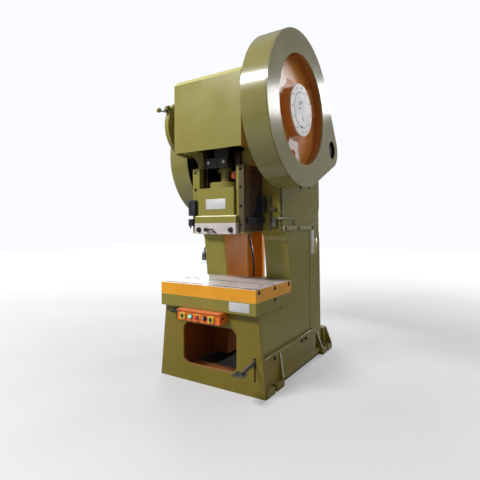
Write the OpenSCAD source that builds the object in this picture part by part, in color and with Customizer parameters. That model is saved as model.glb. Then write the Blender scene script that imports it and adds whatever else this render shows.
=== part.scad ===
// Open-front stamping press with a geared crank, a guided slide and a fixed bolster.
// X runs to the viewer's right, Y to the back, Z up. The origin is on the floor, under the
// middle of the whole machine; the modules are drawn about the slide's own centre line.

/* [Table] */
// Length of the bolster plate from left to right
table_w = 1080; // [1040:10:1160]
// Depth of the bolster plate from front to back
table_d = 710; // [660:10:740]
// Height of the bolster top above the floor
table_top = 930; // [900:10:960]
// Thickness of the bolster plate
bolster_t = 115; // [90:5:130]
// Thickness of the bed slab under the bolster
bed_t = 108; // [80:4:120]
// Width of a T-slot at the bolster surface
slot_w = 28; // [22:2:32]
// Pitch between the T-slots
slot_pitch = 300; // [240:10:300]

/* [Body] */
// Width over the two side columns
body_w = 1040; // [1000:10:1080]
// Clear width between the columns
throat_w = 500; // [460:10:520]
// Distance from the slide centre to the foot of the columns
throat_d = 390; // [380:5:420]
// Distance from the slide centre to the back of the body
body_back = 1260; // [1240:10:1320]
// Height of the underside of the head
head_z = 1420; // [1400:5:1440]
// Height of the top of the head
body_top = 2860; // [2820:10:2900]
// Width of the upper head in front of the columns
upper_w = 960; // [940:10:980]
// Width over the guide neck
neck_w = 604; // [596:4:620]
// Height at which the neck starts to flare into the upper head
flare_z = 2050; // [2030:5:2060]

/* [Base] */
// Width over the feet
foot_w = 1200; // [1190:10:1240]
// Thickness of the feet
foot_t = 60; // [40:5:70]
// Thickness of the base's front wall
wall_t = 25; // [20:1:30]
// Height of the side rails
rail_h = 320; // [290:10:340]
// Width of the front opening
front_gap_w = 610; // [560:10:640]
// Height of the front opening
front_gap_h = 390; // [340:10:400]
// Corner radius of the front opening
front_gap_r = 70; // [50:5:90]
// Width of the anchor slots
anchor_w = 36; // [28:2:42]

/* [Drive] */
// Height of the crankshaft above the floor
crank_z = 2510; // [2505:1:2515]
// Stroke of the slide
stroke = 130; // [100:10:130]
// Radius of the crankshaft journals
journal_r = 110; // [100:2:112]
// Radius of the crank pin
pin_r = 100; // [90:2:104]
// Teeth of the big gear
gear_teeth = 108; // [104:1:108]
// Teeth of the pinion
pinion_teeth = 24; // [22:1:24]
// Module of the gear teeth
gear_module = 12; // [12:0.1:12.1]
// Face width of the big gear
gear_face = 140; // [130:2:146]
// Distance from the slide centre back to the drive shaft
shaft_y = 754; // [748:1:760]
// Radius of the drive shaft
shaft_r = 50; // [44:1:56]
// Radius of the flywheel
flywheel_r = 640; // [620:5:645]
// Width of the flywheel rim
flywheel_w = 140; // [130:2:146]
// Radius of the motor pulley
pulley_r = 105; // [100:1:110]
// Clearance between the body and the big gear
gear_gap = 144; // [140:1:150]
// Clearance between the body and the flywheel
wheel_gap = 100; // [96:1:106]
// Number of drive belts
belt_count = 4; // [3:1:4]

/* [Guards] */
// Radius of the gear guard about the crankshaft
guard_r = 691; // [686:1:700]
// Radius of the round window in the gear guard
window_r = 489; // [470:1:500]
// Depth of the gear guard
guard_depth = 240; // [236:1:244]
// Sheet thickness of the guards
sheet = 8; // [6:0.5:10]
// Depth of the flywheel guard
wheel_guard_depth = 240; // [236:1:244]
// Width of the head cover
cover_w = 776; // [740:4:790]
// Height of the head cover
cover_h = 674; // [640:4:690]

/* [Slide] */
// Width of the slide's front
slide_w = 416; // [404:2:420]
// Height of the slide's bottom face at the top of the stroke
slide_z = 1400; // [1396:1:1404]
// Height of the slide's body
slide_h = 445; // [430:5:450]
// Width of the shank clamp
clamp_w = 480; // [460:4:500]
// Radius of the shank bore
shank_r = 30; // [20:1:32]
// Depth of the shank bore
shank_depth = 80; // [60:5:90]
// Radius of the adjusting screw
screw_r = 50; // [44:1:52]

/* [Controls] */
// Length of the control box
box_w = 480; // [460:10:500]
// Height of the control box
box_h = 100; // [92:1:102]
// Pitch between the control elements
button_pitch = 81; // [76:1:84]

/* [Hidden] */
$fn = 96;

// Clearances
run_gap = 0.05;
face_gap = 0.3;
cut = 1;

// Table
slot_foot = slot_w * 0.9;
slots_each_side = floor((table_d / 2 - slot_foot - 4) / slot_pitch);

// Body
body_x = body_w / 2;
throat_x = throat_w / 2;
neck_x = neck_w / 2;
upper_x = upper_w / 2;
bed_z = table_top - bolster_t - bed_t;
plate_z = table_top - bolster_t;
neck_front = -47;
rail_front = -150;
body_front = 211;
cavity_back = 190;
upper_front = -200;
flare_r = upper_x - neck_x;
cavity_x = throat_x;
upper_cavity_back = 300;
upper_cavity_z = flare_z + flare_r - 30;
cavity_top = body_top - 60;
lower_wall_t = 80;
seam_y = 890;
rear_corner_r = 60;
rear_slope = 120;
throat_lean = 6.56;
throat_r = 120;

// Base
front_y = -300;
front_top_w = 1056;
front_bottom_w = foot_w - 10;
rail_t = 40;
rail_end = 950;
front_foot_end = 60;
rear_foot_start = 1062;
rear_foot_end = 1373;
gusset_t = 20;
front_gap_z = 165;
pedal_x = body_x - 28;
pedal_z = 311;
pedal_pin_y = -225;
pedal_pin_r = 8;
pedal_tip = -560;
pedal_gap = 24;
lug_t = 6;

// Crank and gears
crank_r = stroke / 2;
pin_z = crank_z + crank_r;
gear_centres = gear_module * (gear_teeth + pinion_teeth) / 2;
shaft_z = crank_z - sqrt(gear_centres * gear_centres - shaft_y * shaft_y);
mesh_angle = atan2(shaft_z - crank_z, shaft_y);
backlash = 0.8;
web_in = 130;
web_out = 200;
web_r = 190;
bush_wall = 20;
gear_x = body_x + gear_gap;
hub_r = 232;
hub_face_x = gear_x + gear_face + 22;
disc_r = 155;
wheel_x = -(body_x + wheel_gap + flywheel_w);
bearing_r = 140;
drum_r = 292;
drum_in = upper_x + 12;
drum_w = 56;
band_t = 9;
ear_h = 58;
ear_bolt_r = drum_r + 36;
arm_l = 106;
brake_back = drum_r + 24;

// Guards
guard_room = 40;
guard_face_x = gear_x + gear_face + guard_room;
wheel_guard_x = guard_room - wheel_x;
guard_tail_r = 176;
cover_rise = 354;
shaft_hole_r = 93;

// Motor
motor_y = 1470;
motor_z = 1923;
motor_r = 155;
lobe_r = 171;
belt_pitch = 28;
belt_w = 20;
belt_t = 13;
groove_w = 24;
groove_deep = 14;

// Whole machine, for the origin
shift_x = -(guard_face_x - wheel_guard_x) / 2;
shift_y = -(motor_y + lobe_r - guard_r) / 2;

// Slide
slide_x = slide_w / 2;
slide_front = -180;
slide_back = 185;
gib_front = -83;
gib_back = 67;
gib_in = 164;
slide_top = slide_z + slide_h;
clamp_h = 105;
clamp_front = -200;
ledge_z = 1578;
rail_inner = neck_x - 84;
ball_z = 1690;
ball_r = 70;
rod_low = 2045;
rod_big_r = 165;
rod_half = 125;
rod_front = -160;
rod_ear_y = 215;
rod_bolt_x = 70;
rod_bolt_y = 187;
dish_r = 160;
dish_t = 58;

// Control box
box_x = -273;
box_z = bed_z - 4;
box_y = -420;
button_x0 = box_x + box_w / 2 - 3;
button_z = box_z - box_h / 2 - 4;

// Fasteners and posts
guard_post_y = 450;
guard_post_z = [2080, 2700];
guard_post_r = 36;
bolster_bolt_x = 440;
bolster_bolt_y = 75;
frame_bolt_y = [-60, 560, 660];
frame_bolt_r = 10;
rail_screw_z = [1480, 1660, 1840, 2010];
gib_bolt_z = [1590, 1850, 1990];
cover_screw_z = [2270, 2540, 2790];
strip_bolt_y = [239, 541, 932];
clamp_bolt_x = 186;
clamp_bolt_z = slide_z + 42;
clamp_bolt_l = gib_front - clamp_front - 7;
lever_x = -84;
lever_r = 12;
ear_angle = 150;

// Work lamp: its neck rises from the column and bends over to the lamp
neck_bend = 38;
neck_turn = 30;
neck_foot_y = 470;
lamp_x = -body_x - 14 - 2 * neck_bend * cos(neck_turn);
lamp_y = neck_foot_y - 2 * neck_bend * sin(neck_turn);
lamp_z = 1128;

// Route of the cable from the head's underside down to the deck
cable_points = [
    [44, 372, 1420], [46, 374, 1380], [52, 378, 1330], [60, 382, 1280], [69, 386, 1230],
    [77, 390, 1180], [83, 394, 1130], [86, 398, 1080], [84, 402, 1030], [78, 408, 980],
    [70, 416, 930], [62, 424, 880], [56, 430, 840], [54, 432, 815]];
cable_r = 10;
cable_sides = 8;

// Paint
olive = [0.52, 0.50, 0.30];
orange = [0.85, 0.57, 0.18];
rust_orange = [0.62, 0.36, 0.14];
steel = [0.72, 0.72, 0.72];
dark = [0.13, 0.13, 0.13];
bronze = [0.70, 0.52, 0.26];

// Shared shapes

module placed() {
    translate([shift_x, shift_y, 0]) children();
}

// A drawing in Y and Z, thickened from x0 to the right.
module along_x(x0, t) {
    translate([x0, 0, 0]) rotate([90, 0, 90]) linear_extrude(t) children();
}

// A drawing in X and Z, thickened from y0 to the back.
module along_y(y0, t) {
    translate([0, y0 + t, 0]) rotate([90, 0, 0]) linear_extrude(t) children();
}

module rod_x(x0, y, z, r, t) {
    translate([x0, y, z]) rotate([0, 90, 0]) cylinder(r = r, h = t);
}

module rod_y(x, y0, z, r, t) {
    translate([x, y0, z]) rotate([-90, 0, 0]) cylinder(r = r, h = t);
}

module rod_z(x, y, z0, r, t) {
    translate([x, y, z0]) cylinder(r = r, h = t);
}

module block(x0, x1, y0, y1, z0, z1) {
    translate([x0, y0, z0]) cube([x1 - x0, y1 - y0, z1 - z0]);
}

module both_sides() {
    children();
    mirror([1, 0, 0]) children();
}

// Rectangle with round corners, centred.
module round_rect(w, h, r) {
    square([w - 2 * r, h], center = true);
    square([w, h - 2 * r], center = true);
    for (x = [-1, 1], y = [-1, 1])
        translate([x * (w / 2 - r), y * (h / 2 - r)]) circle(r);
}

// Two circles joined by their outer tangents. The second lies at (dx, dy).
module pear(big_r, small_r, dx, dy) {
    span = sqrt(dx * dx + dy * dy);
    a = acos((big_r - small_r) / span);
    rotate(atan2(dy, dx)) {
        circle(big_r, $fn = 180);
        translate([span, 0]) circle(small_r);
        polygon([
            [big_r * cos(a), -big_r * sin(a)],
            [span + small_r * cos(a), -small_r * sin(a)],
            [span + small_r * cos(a), small_r * sin(a)],
            [big_r * cos(a), big_r * sin(a)]]);
    }
}

// A hexagon head with its face towards +Z.
module hex_head(r, t) {
    cylinder(r = r, h = t, $fn = 6);
}

function involute(a) = tan(a) * 180 / PI - a;

// Half the angle that a tooth takes at radius r.
function tooth_half(r, rp, teeth) =
    let (base = rp * cos(20), a = r > base ? acos(base / r) : 0)
    90 / teeth + involute(20) - involute(a) - backlash / 4 / rp * 180 / PI;

function unit(a) = [cos(a), sin(a)];

function gear_points(teeth, start) =
    let (
        rp = gear_module * teeth / 2,
        radii = [rp - 1.25 * gear_module, rp - 0.6 * gear_module, rp,
                 rp + 0.5 * gear_module, rp + gear_module])
    [for (i = [0:teeth - 1], side = [-1, 1], k = [0:4])
        let (r = side < 0 ? radii[k] : radii[4 - k])
        r * unit(start + i * 360 / teeth + side * tooth_half(r, rp, teeth))];

// Frame

module base_stand() {
    foot_x = foot_w / 2;
    slope = (front_bottom_w - front_top_w) / 2 / bed_z;
    color(olive) placed() {
        // Front wall, wider at the floor, with its round-cornered opening
        difference() {
            along_y(front_y, wall_t) polygon([
                [-front_bottom_w / 2, 0], [front_bottom_w / 2, 0],
                [front_top_w / 2, bed_z], [-front_top_w / 2, bed_z]]);
            along_y(front_y - cut, wall_t + 2 * cut)
                translate([0, front_gap_z + front_gap_h / 2])
                    round_rect(front_gap_w, front_gap_h, front_gap_r);
            block(pedal_x - pedal_gap / 2, pedal_x + pedal_gap / 2, front_y - cut, front_y + wall_t + cut,
                pedal_z - 62, pedal_z + 24);
            along_y(front_y - cut, wall_t + 2 * cut)
                translate([pedal_x, pedal_z - 120]) round_rect(16, 130, 7.9);
        }
        both_sides() {
            // Side rail with a chamfered top edge
            difference() {
                block(body_x, body_x + rail_t, front_y + wall_t, rail_end, foot_t, rail_h);
                translate([body_x + rail_t, 0, rail_h]) rotate([0, 45, 0])
                    cube([14, 4000, 14], center = true);
                for (y = frame_bolt_y) rod_x(body_x - cut, y, rail_h - 40, frame_bolt_r, rail_t + 2 * cut);
            }
            // Sloping flange along the foot of the rail, from foot to foot
            along_y(front_foot_end, rear_foot_start - front_foot_end) polygon([
                [body_x - 20, foot_t - 40], [body_x + rail_t, foot_t - 40],
                [body_x + rail_t + 12, foot_t - 16], [body_x + rail_t, foot_t + 34],
                [body_x + rail_t, foot_t], [body_x - 20, foot_t]]);
            foot(front_y + wall_t, front_foot_end, foot_x);
            foot(rear_foot_start, rear_foot_end, foot_x);
            // Gussets
            gusset(front_foot_end - gusset_t, body_x + rail_t - 4, rail_h - 20, foot_x);
            gusset(rear_foot_start, body_x, rail_h - 70, foot_x);
            gusset(rear_foot_end - gusset_t, body_x, rail_h - 70, foot_x);
            // Upright that the rear gussets stand against, behind the body
            block(body_x - 60, body_x + gusset_t / 2, body_back + face_gap, rear_foot_end,
                foot_t, rail_h - 70);
        }
        // Lugs of the pedal hinge, on the right only
        for (x = [pedal_x - pedal_gap / 2 - lug_t, pedal_x + pedal_gap / 2])
            difference() {
                block(x, x + lug_t, front_y + wall_t, pedal_pin_y + 24, pedal_z - 22, pedal_z + 22);
                rod_x(x - cut, pedal_pin_y, pedal_z, pedal_pin_r, lug_t + 2 * cut);
            }
        // Cross plates on the floor
        block(-body_x, body_x, front_y + wall_t, front_foot_end, foot_t - 30, foot_t);
        block(-body_x, body_x, rear_foot_start, rear_foot_end, foot_t - 30, foot_t);
    }
}

// A foot with an anchor slot that is open to the side.
module foot(y0, y1, x1) {
    slot_y = (y0 + y1) / 2;
    difference() {
        block(body_x - 60, x1, y0, y1, 0, foot_t);
        anchor_slot(x1 - 62, x1 + cut, slot_y);
    }
}

module anchor_slot(x0, x1, y) {
    block(x0, x1, y - anchor_w / 2, y + anchor_w / 2, -cut, foot_t + cut);
    rod_z(x0, y, -cut, anchor_w / 2, foot_t + 2 * cut);
}

module gusset(y0, x0, z1, x1) {
    along_y(y0, gusset_t) polygon([
        [x0, foot_t - cut], [x1 - 4, foot_t - cut], [x1 - 4, foot_t + 14],
        [x0 + 10, z1], [x0, z1]]);
}

// The side profile of the body, in Y and Z: a leaning column under the head, with a round throat.
module side_profile() {
    y_top = throat_d - (head_z - plate_z) * tan(throat_lean);
    y_arc = y_top + throat_r * (tan(throat_lean) - 1 / cos(throat_lean));
    polygon([
        [throat_d, foot_t], [body_back, foot_t], [body_back, body_top - rear_slope],
        [body_back - rear_slope, body_top], [body_front, body_top], [body_front, head_z],
        [y_top, head_z], [throat_d, plate_z]]);
    translate([y_arc, head_z - throat_r]) difference() {
        polygon([
            [0, 0], throat_r * unit(throat_lean), [y_top - y_arc + cut, throat_r + cut], [0, throat_r + cut]]);
        circle(throat_r);
    }
}

module c_frame() {
    color(olive) placed() {
        difference() {
            union() {
                both_sides() {
                    along_x(throat_x, body_x - throat_x) side_profile();
                    // Guide neck wall, flaring into the upper head
                    along_y(neck_front, body_front + cut - neck_front) neck_wall();
                    // Lower side wall under the bed
                    block(body_x - lower_wall_t, body_x, front_y + wall_t + face_gap, throat_d + cut,
                        foot_t, bed_z + cut);
                    // Raised triangular rib between the wall and the slab
                    along_y(172, 24) polygon([
                        [body_x - cut, bed_z - 50], [body_x + 18, bed_z + cut], [body_x - cut, bed_z + cut]]);
                }
                // Upper head around the crank
                block(-upper_x, upper_x, upper_front, body_front + cut, flare_z + flare_r, body_top);
                // Bed slab and the deck behind it
                block(-table_w / 2, table_w / 2, -table_d / 2, table_d / 2, bed_z, plate_z);
                block(-body_x + cut, body_x - cut, table_d / 2 - cut, body_back - cut, bed_z, plate_z - 0.5);
                // Back wall of the slide space and of the head
                block(-throat_x - cut, throat_x + cut, cavity_back, 330, head_z, body_top);
                along_x(-throat_x - cut, throat_w + 2 * cut) polygon([
                    [body_back - 40, head_z], [body_back, head_z], [body_back, body_top - rear_slope],
                    [body_back - rear_slope, body_top], [329, body_top], [329, body_top - 50],
                    [body_back - rear_slope - 21, body_top - 50], [body_back - 40, body_top - rear_slope - 31]]);
                block(-throat_x - cut, throat_x + cut, 329, body_back - 39, head_z, head_z + 50);
                // Bosses of the two drive-shaft bearings
                both_sides() rod_x(body_x - cut, shaft_y, shaft_z, bearing_r + 10, 16 + cut);
                // Standoffs that carry the guards
                for (z = guard_post_z) {
                    rod_x(body_x - cut, guard_post_y, z, guard_post_r,
                        guard_face_x - guard_depth - body_x + cut);
                    rod_x(-(wheel_guard_x - wheel_guard_depth), guard_post_y, z, guard_post_r,
                        wheel_guard_x - wheel_guard_depth - body_x + cut);
                }
            }
            // Space of the rod and crank
            block(-cavity_x, cavity_x, upper_front - cut, upper_cavity_back, upper_cavity_z, cavity_top);
            block(-rail_inner, rail_inner, neck_front - cut, cavity_back, head_z - cut, upper_cavity_z + cut);
            // Bearing bores
            rod_x(-upper_x - cut, 0, crank_z, journal_r + bush_wall, upper_w + 2 * cut);
            rod_x(-body_x - 20, shaft_y, shaft_z, shaft_r + 45, body_w + 40);
            // Shoulders of the columns beside the brake
            both_sides() block(upper_x, body_x + cut, body_front - cut, brake_back,
                flare_z + flare_r, body_top + cut);
            // Scooped inner faces at the open back
            both_sides() rod_z(throat_x - 120, 1010, plate_z, 220, head_z - plate_z);
            // Seam between the column and the rear leg
            both_sides() block(body_x - 6, body_x + cut, seam_y - 4, seam_y + 4, rail_h + 7, head_z);
            // Round rear corners
            both_sides() difference() {
                block(body_x - rear_corner_r, body_x + cut, body_back - rear_corner_r, body_back + cut,
                    0, body_top + cut);
                rod_z(body_x - rear_corner_r, body_back - rear_corner_r, -cut, rear_corner_r, body_top + 3 * cut);
            }
            // Pocket behind the front wall for the pedal's hinge
            block(body_x - lower_wall_t - cut, body_x - 4, front_y, pedal_pin_y + 55, pedal_z - 195, pedal_z + 89);
            // Holes for the bolster bolts
            for (x = [-1, 1], y = [-1, 1])
                rod_z(x * bolster_bolt_x, y * bolster_bolt_y, bed_z - cut, 13, bed_t + 2 * cut);
        }
    }
}

// Half of the neck, seen from the front.
module neck_wall() {
    difference() {
        translate([rail_inner, head_z]) square([upper_x - rail_inner, flare_z + flare_r - head_z + 1]);
        translate([neck_x, head_z - cut]) square([400, flare_z - head_z + cut]);
        translate([upper_x, flare_z]) circle(flare_r);
    }
}

module frame_bolts() {
    color(dark) placed() {
        both_sides() for (y = frame_bolt_y)
            translate([body_x + rail_t, y, rail_h - 40]) rotate([0, 90, 0]) {
                hex_head(17, 14);
                translate([0, 0, -rail_t]) cylinder(r = frame_bolt_r, h = rail_t + cut);
            }
    }
}

module bolster_plate() {
    color(orange) placed() difference() {
        block(-table_w / 2, table_w / 2, -table_d / 2, table_d / 2, plate_z, table_top);
        for (i = [-slots_each_side:slots_each_side]) t_slot(i * slot_pitch);
        for (x = [-1, 1], y = [-1, 1]) translate([x * bolster_bolt_x, y * bolster_bolt_y, 0]) {
            rod_z(0, 0, plate_z - cut, 13, bolster_t + 2 * cut);
            rod_z(0, 0, table_top - 28, 21, 28 + cut);
        }
    }
}

// A T-slot from side to side at depth y.
module t_slot(y) {
    neck = 26;
    block(-table_w / 2 - cut, table_w / 2 + cut, y - slot_w / 2, y + slot_w / 2,
        table_top - neck - 18, table_top + cut);
    block(-table_w / 2 - cut, table_w / 2 + cut, y - slot_foot, y + slot_foot,
        table_top - neck - 20, table_top - neck);
}

module bolster_bolts() {
    color(steel) placed() for (x = [-1, 1], y = [-1, 1])
        translate([x * bolster_bolt_x, y * bolster_bolt_y, 0]) difference() {
            union() {
                rod_z(0, 0, bed_z, 12, bolster_t + bed_t - 28 + cut);
                rod_z(0, 0, table_top - 28, 18, 24);
            }
            translate([0, 0, table_top - 16]) cylinder(r = 11, h = 20, $fn = 6);
        }
}

// Guides

module guide_rail(side) {
    color(olive) placed() mirror([side < 0 ? 1 : 0, 0, 0]) difference() {
        block(rail_inner, neck_x, rail_front, neck_front, slide_z + 6, flare_z + 4);
        for (z = rail_screw_z) rod_y(neck_x - 34, rail_front - cut, z, 16, 22);
    }
}

module guide_rail_left() { guide_rail(-1); }

module guide_rail_right() { guide_rail(1); }

// The gib fills the space between the rail and the slide's narrow waist.
module gib(side) {
    color(bronze) placed() mirror([side < 0 ? 1 : 0, 0, 0])
        block(gib_in + face_gap, rail_inner, gib_front + face_gap, gib_back - face_gap,
            slide_z + 6, flare_z + 140);
}

module gib_left() { gib(-1); }

module gib_right() { gib(1); }

module gib_bolts() {
    color(steel) placed() both_sides() for (z = gib_bolt_z)
        translate([neck_x, 35, z]) rotate([0, 90, 0]) {
            cylinder(r = 20, h = 3);
            hex_head(15, 16);
            cylinder(r = 8, h = 34);
        }
}

// Head cover and guards

module head_cover() {
    top = crank_z + cover_rise;
    front = -330;
    shoulder = 50;
    color(olive) placed() difference() {
        along_x(-cover_w / 2, cover_w) polygon([
            [upper_front - face_gap, top - cover_h], [front, top - cover_h], [front, top],
            [front + shoulder, top + shoulder], [upper_front - face_gap, top + shoulder]]);
        along_x(-cover_w / 2 + 4, cover_w - 8) polygon([
            [upper_front + cut, top - cover_h - cut], [front + 4, top - cover_h - cut],
            [front + 4, top - 2], [front + shoulder + 2, top + shoulder - 4],
            [upper_front + cut, top + shoulder - 4]]);
    }
}

module cover_screws() {
    color(steel) placed() both_sides() for (z = cover_screw_z)
        translate([cover_w / 2, upper_front - 62, z]) rotate([0, 90, 0]) {
            cylinder(r = 11, h = 2);
            hex_head(8, 9);
        }
}

// Outline of the gear guard, smaller all round by an inset.
module gear_guard_outline(inset) {
    translate([0, crank_z])
        pear(guard_r - inset, guard_tail_r - inset, shaft_y, shaft_z - crank_z);
}

// Band of the guard, with its strap.
module gear_guard() {
    back = guard_face_x - guard_depth;
    band = guard_depth - sheet - face_gap;
    color(olive) placed() {
        difference() {
            along_x(back, band) gear_guard_outline(0);
            along_x(back - cut, band + 2 * cut) gear_guard_outline(sheet);
        }
        guard_strap(back) gear_guard_outline(2);
    }
}

// Face of the guard, with the round window and the hole over the drive shaft.
module gear_guard_face() {
    rim = 22;
    color(olive) placed() {
        difference() {
            along_x(guard_face_x - sheet, sheet) gear_guard_outline(0);
            rod_x(guard_face_x - sheet - cut, 0, crank_z, window_r, sheet + 2 * cut, $fn = 180);
            rod_x(guard_face_x - sheet - cut, shaft_y, shaft_z, shaft_hole_r, sheet + 2 * cut);
        }
        // Turned-in rim of the window
        difference() {
            rod_x(guard_face_x - rim, 0, crank_z, window_r + 5, rim - sheet / 2, $fn = 180);
            rod_x(guard_face_x - rim - cut, 0, crank_z, window_r, rim + 2 * cut, $fn = 180);
        }
    }
}

// Upright strap behind a guard, bolted to the two standoffs.
module guard_strap(x0) {
    difference() {
        along_x(x0, sheet) intersection() {
            translate([guard_post_y - 45, 0]) square([90, 2 * crank_z]);
            children();
        }
        for (z = guard_post_z) rod_x(x0 - cut, guard_post_y, z, 11, sheet + 2 * cut);
    }
}

module flywheel_guard() {
    inner = -(wheel_guard_x - wheel_guard_depth);
    dy = motor_y - shaft_y;
    dz = motor_z - shaft_z;
    color(olive) placed() {
        difference() {
            along_x(-wheel_guard_x, wheel_guard_depth) translate([shaft_y, shaft_z])
                pear(guard_r - 1, lobe_r, dy, dz);
            along_x(-wheel_guard_x + sheet, wheel_guard_depth) translate([shaft_y, shaft_z])
                pear(guard_r - 1 - sheet, lobe_r - sheet, dy, dz);
            // Ring of ventilation slots in the outer face
            for (a = [0:45:315]) along_x(-wheel_guard_x - cut, sheet + 2 * cut)
                translate([shaft_y, shaft_z]) rotate(a + 10) translate([430, 0])
                    round_rect(180, 40, 19);
            rod_x(-wheel_guard_x - cut, shaft_y, shaft_z, 90, sheet + 2 * cut);
        }
        guard_strap(inner - sheet) translate([shaft_y, shaft_z]) pear(guard_r - 3, lobe_r - 2, dy, dz);
    }
}

// Bearings

module crank_bushes() {
    color(bronze) placed() both_sides() difference() {
        union() {
            rod_x(cavity_x, 0, crank_z, journal_r + bush_wall, upper_x - cavity_x);
            rod_x(upper_x, 0, crank_z, journal_r + bush_wall + 14, 8);
        }
        rod_x(cavity_x - cut, 0, crank_z, journal_r + run_gap, upper_x - cavity_x + 10);
    }
}

module shaft_bearings() {
    color(steel) placed() both_sides() difference() {
        union() {
            rod_x(body_x + 16, shaft_y, shaft_z, bearing_r, 22);
            rod_x(body_x - 60, shaft_y, shaft_z, shaft_r + 45, 76 + cut);
        }
        rod_x(body_x - 61, shaft_y, shaft_z, shaft_r + run_gap, 100);
        for (a = [0:60:300]) translate([body_x + 30, shaft_y, shaft_z]) rotate([a, 0, 0])
            rod_x(0, bearing_r - 22, 0, 9, 9);
    }
}

// Drive train

module gear_outline(teeth, start) {
    polygon(gear_points(teeth, start));
}

module big_gear() {
    rim_in = 560;
    color(rust_orange) placed() {
        difference() {
            union() {
                difference() {
                    along_x(gear_x, gear_face) translate([0, crank_z]) gear_outline(gear_teeth, mesh_angle);
                    rod_x(gear_x + gear_face - 62, 0, crank_z, rim_in, 64, $fn = 180);
                    rod_x(gear_x - cut, 0, crank_z, rim_in, 42, $fn = 180);
                    // Dished face towards the hub
                    translate([gear_x + gear_face - 62, 0, crank_z]) rotate([0, -90, 0])
                        cylinder(r1 = rim_in - 30, r2 = hub_r + 60, h = 16, $fn = 180);
                }
                rod_x(gear_x - 8, 0, crank_z, hub_r - 14, hub_face_x - 12 - gear_x + 8);
                // Raised pads round the lightening holes
                for (a = [24, 144, 264]) gear_pad(a);
            }
            rod_x(gear_x - 10, 0, crank_z, journal_r + run_gap, 250);
            rod_x(hub_face_x - 42, 0, crank_z, disc_r + 5, 60);
            for (a = [24, 144, 264]) rod_x(gear_x, 400 * cos(a), crank_z + 400 * sin(a), 46, gear_face);
        }
    }
}

// A pad of the gear's web: a sector with scalloped ends.
module gear_pad(a) {
    along_x(gear_x + gear_face - 82, 34) translate([0, crank_z]) rotate(a) difference() {
        intersection() {
            circle(540, $fn = 180);
            polygon([[0, 0], [700, -230], [700, 230]]);
        }
        circle(hub_r + 40);
        for (s = [-1, 1]) translate([330, s * 150]) circle(50);
        for (s = [-1, 1]) translate([470, s * 190]) circle(56);
    }
}

module gear_ring() {
    color(steel) placed() difference() {
        rod_x(hub_face_x - 12, 0, crank_z, hub_r, 12);
        rod_x(hub_face_x - 13, 0, crank_z, disc_r + 5, 14);
        for (a = [0:30:330])
            rod_x(hub_face_x - 5, 198 * cos(a), crank_z + 198 * sin(a), 7, 6);
    }
}

module drive_shaft() {
    left = -(wheel_guard_x - 16);
    right = guard_face_x - 24;
    color(steel) placed() {
        rod_x(left, shaft_y, shaft_z, shaft_r, right - left);
        // Collars beside the bearings
        rod_x(body_x + 38 + face_gap, shaft_y, shaft_z, shaft_r + 14, 30);
        rod_x(-body_x - 68 - face_gap, shaft_y, shaft_z, shaft_r + 14, 30);
    }
}

module pinion() {
    color(steel) placed() difference() {
        union() {
            along_x(gear_x - 4, gear_face + 8) translate([shaft_y, shaft_z])
                gear_outline(pinion_teeth, mesh_angle + 180 + 180 / pinion_teeth);
            rod_x(gear_x - 30, shaft_y, shaft_z, 96, gear_face + 40);
        }
        rod_x(gear_x - 40, shaft_y, shaft_z, shaft_r, gear_face + 80);
    }
}

module flywheel() {
    hub = 120;
    color([0.25, 0.26, 0.27]) placed() difference() {
        union() {
            difference() {
                rod_x(wheel_x, shaft_y, shaft_z, flywheel_r, flywheel_w, $fn = 180);
                for (x = [wheel_x - cut, wheel_x + flywheel_w - 45])
                    rod_x(x, shaft_y, shaft_z, flywheel_r - 110, 46, $fn = 180);
            }
            rod_x(wheel_x - 12, shaft_y, shaft_z, hub, flywheel_w + 24);
        }
        rod_x(wheel_x - 20, shaft_y, shaft_z, shaft_r, flywheel_w + 60);
        belt_grooves(shaft_y, shaft_z, flywheel_r);
        for (a = [0:60:300])
            rod_x(wheel_x, shaft_y + 320 * cos(a), shaft_z + 320 * sin(a), 80, flywheel_w);
    }
}

function belt_x(i) = wheel_x + flywheel_w / 2 + (i - (belt_count - 1) / 2) * belt_pitch;

module belt_grooves(y, z, r) {
    for (i = [0:belt_count - 1])
        difference() {
            rod_x(belt_x(i) - groove_w / 2, y, z, r + cut, groove_w, $fn = 180);
            rod_x(belt_x(i) - groove_w, y, z, r - groove_deep, 2 * groove_w, $fn = 180);
        }
}

// The loop of a belt round two pulleys: an arc of chords on each, joined by straight runs.
function belt_points(big_r, small_r, dx, dy) =
    let (
        a = acos((big_r - small_r) / sqrt(dx * dx + dy * dy)),
        lean = atan2(dy, dx))
    concat(
        [for (k = [0:60]) big_r * unit(lean + a + k * (360 - 2 * a) / 60)],
        [for (k = [0:16]) [dx, dy] + small_r * unit(lean - a + k * 2 * a / 16)]);

module drive_belts() {
    dy = motor_y - shaft_y;
    dz = motor_z - shaft_z;
    low = groove_deep - 0.5;
    color(dark) placed() for (i = [0:belt_count - 1])
        along_x(belt_x(i) - belt_w / 2, belt_w) translate([shaft_y, shaft_z]) difference() {
            polygon(belt_points(flywheel_r - low + belt_t, pulley_r - low + belt_t, dy, dz));
            polygon(belt_points(flywheel_r - low, pulley_r - low, dy, dz));
        }
}

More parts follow.
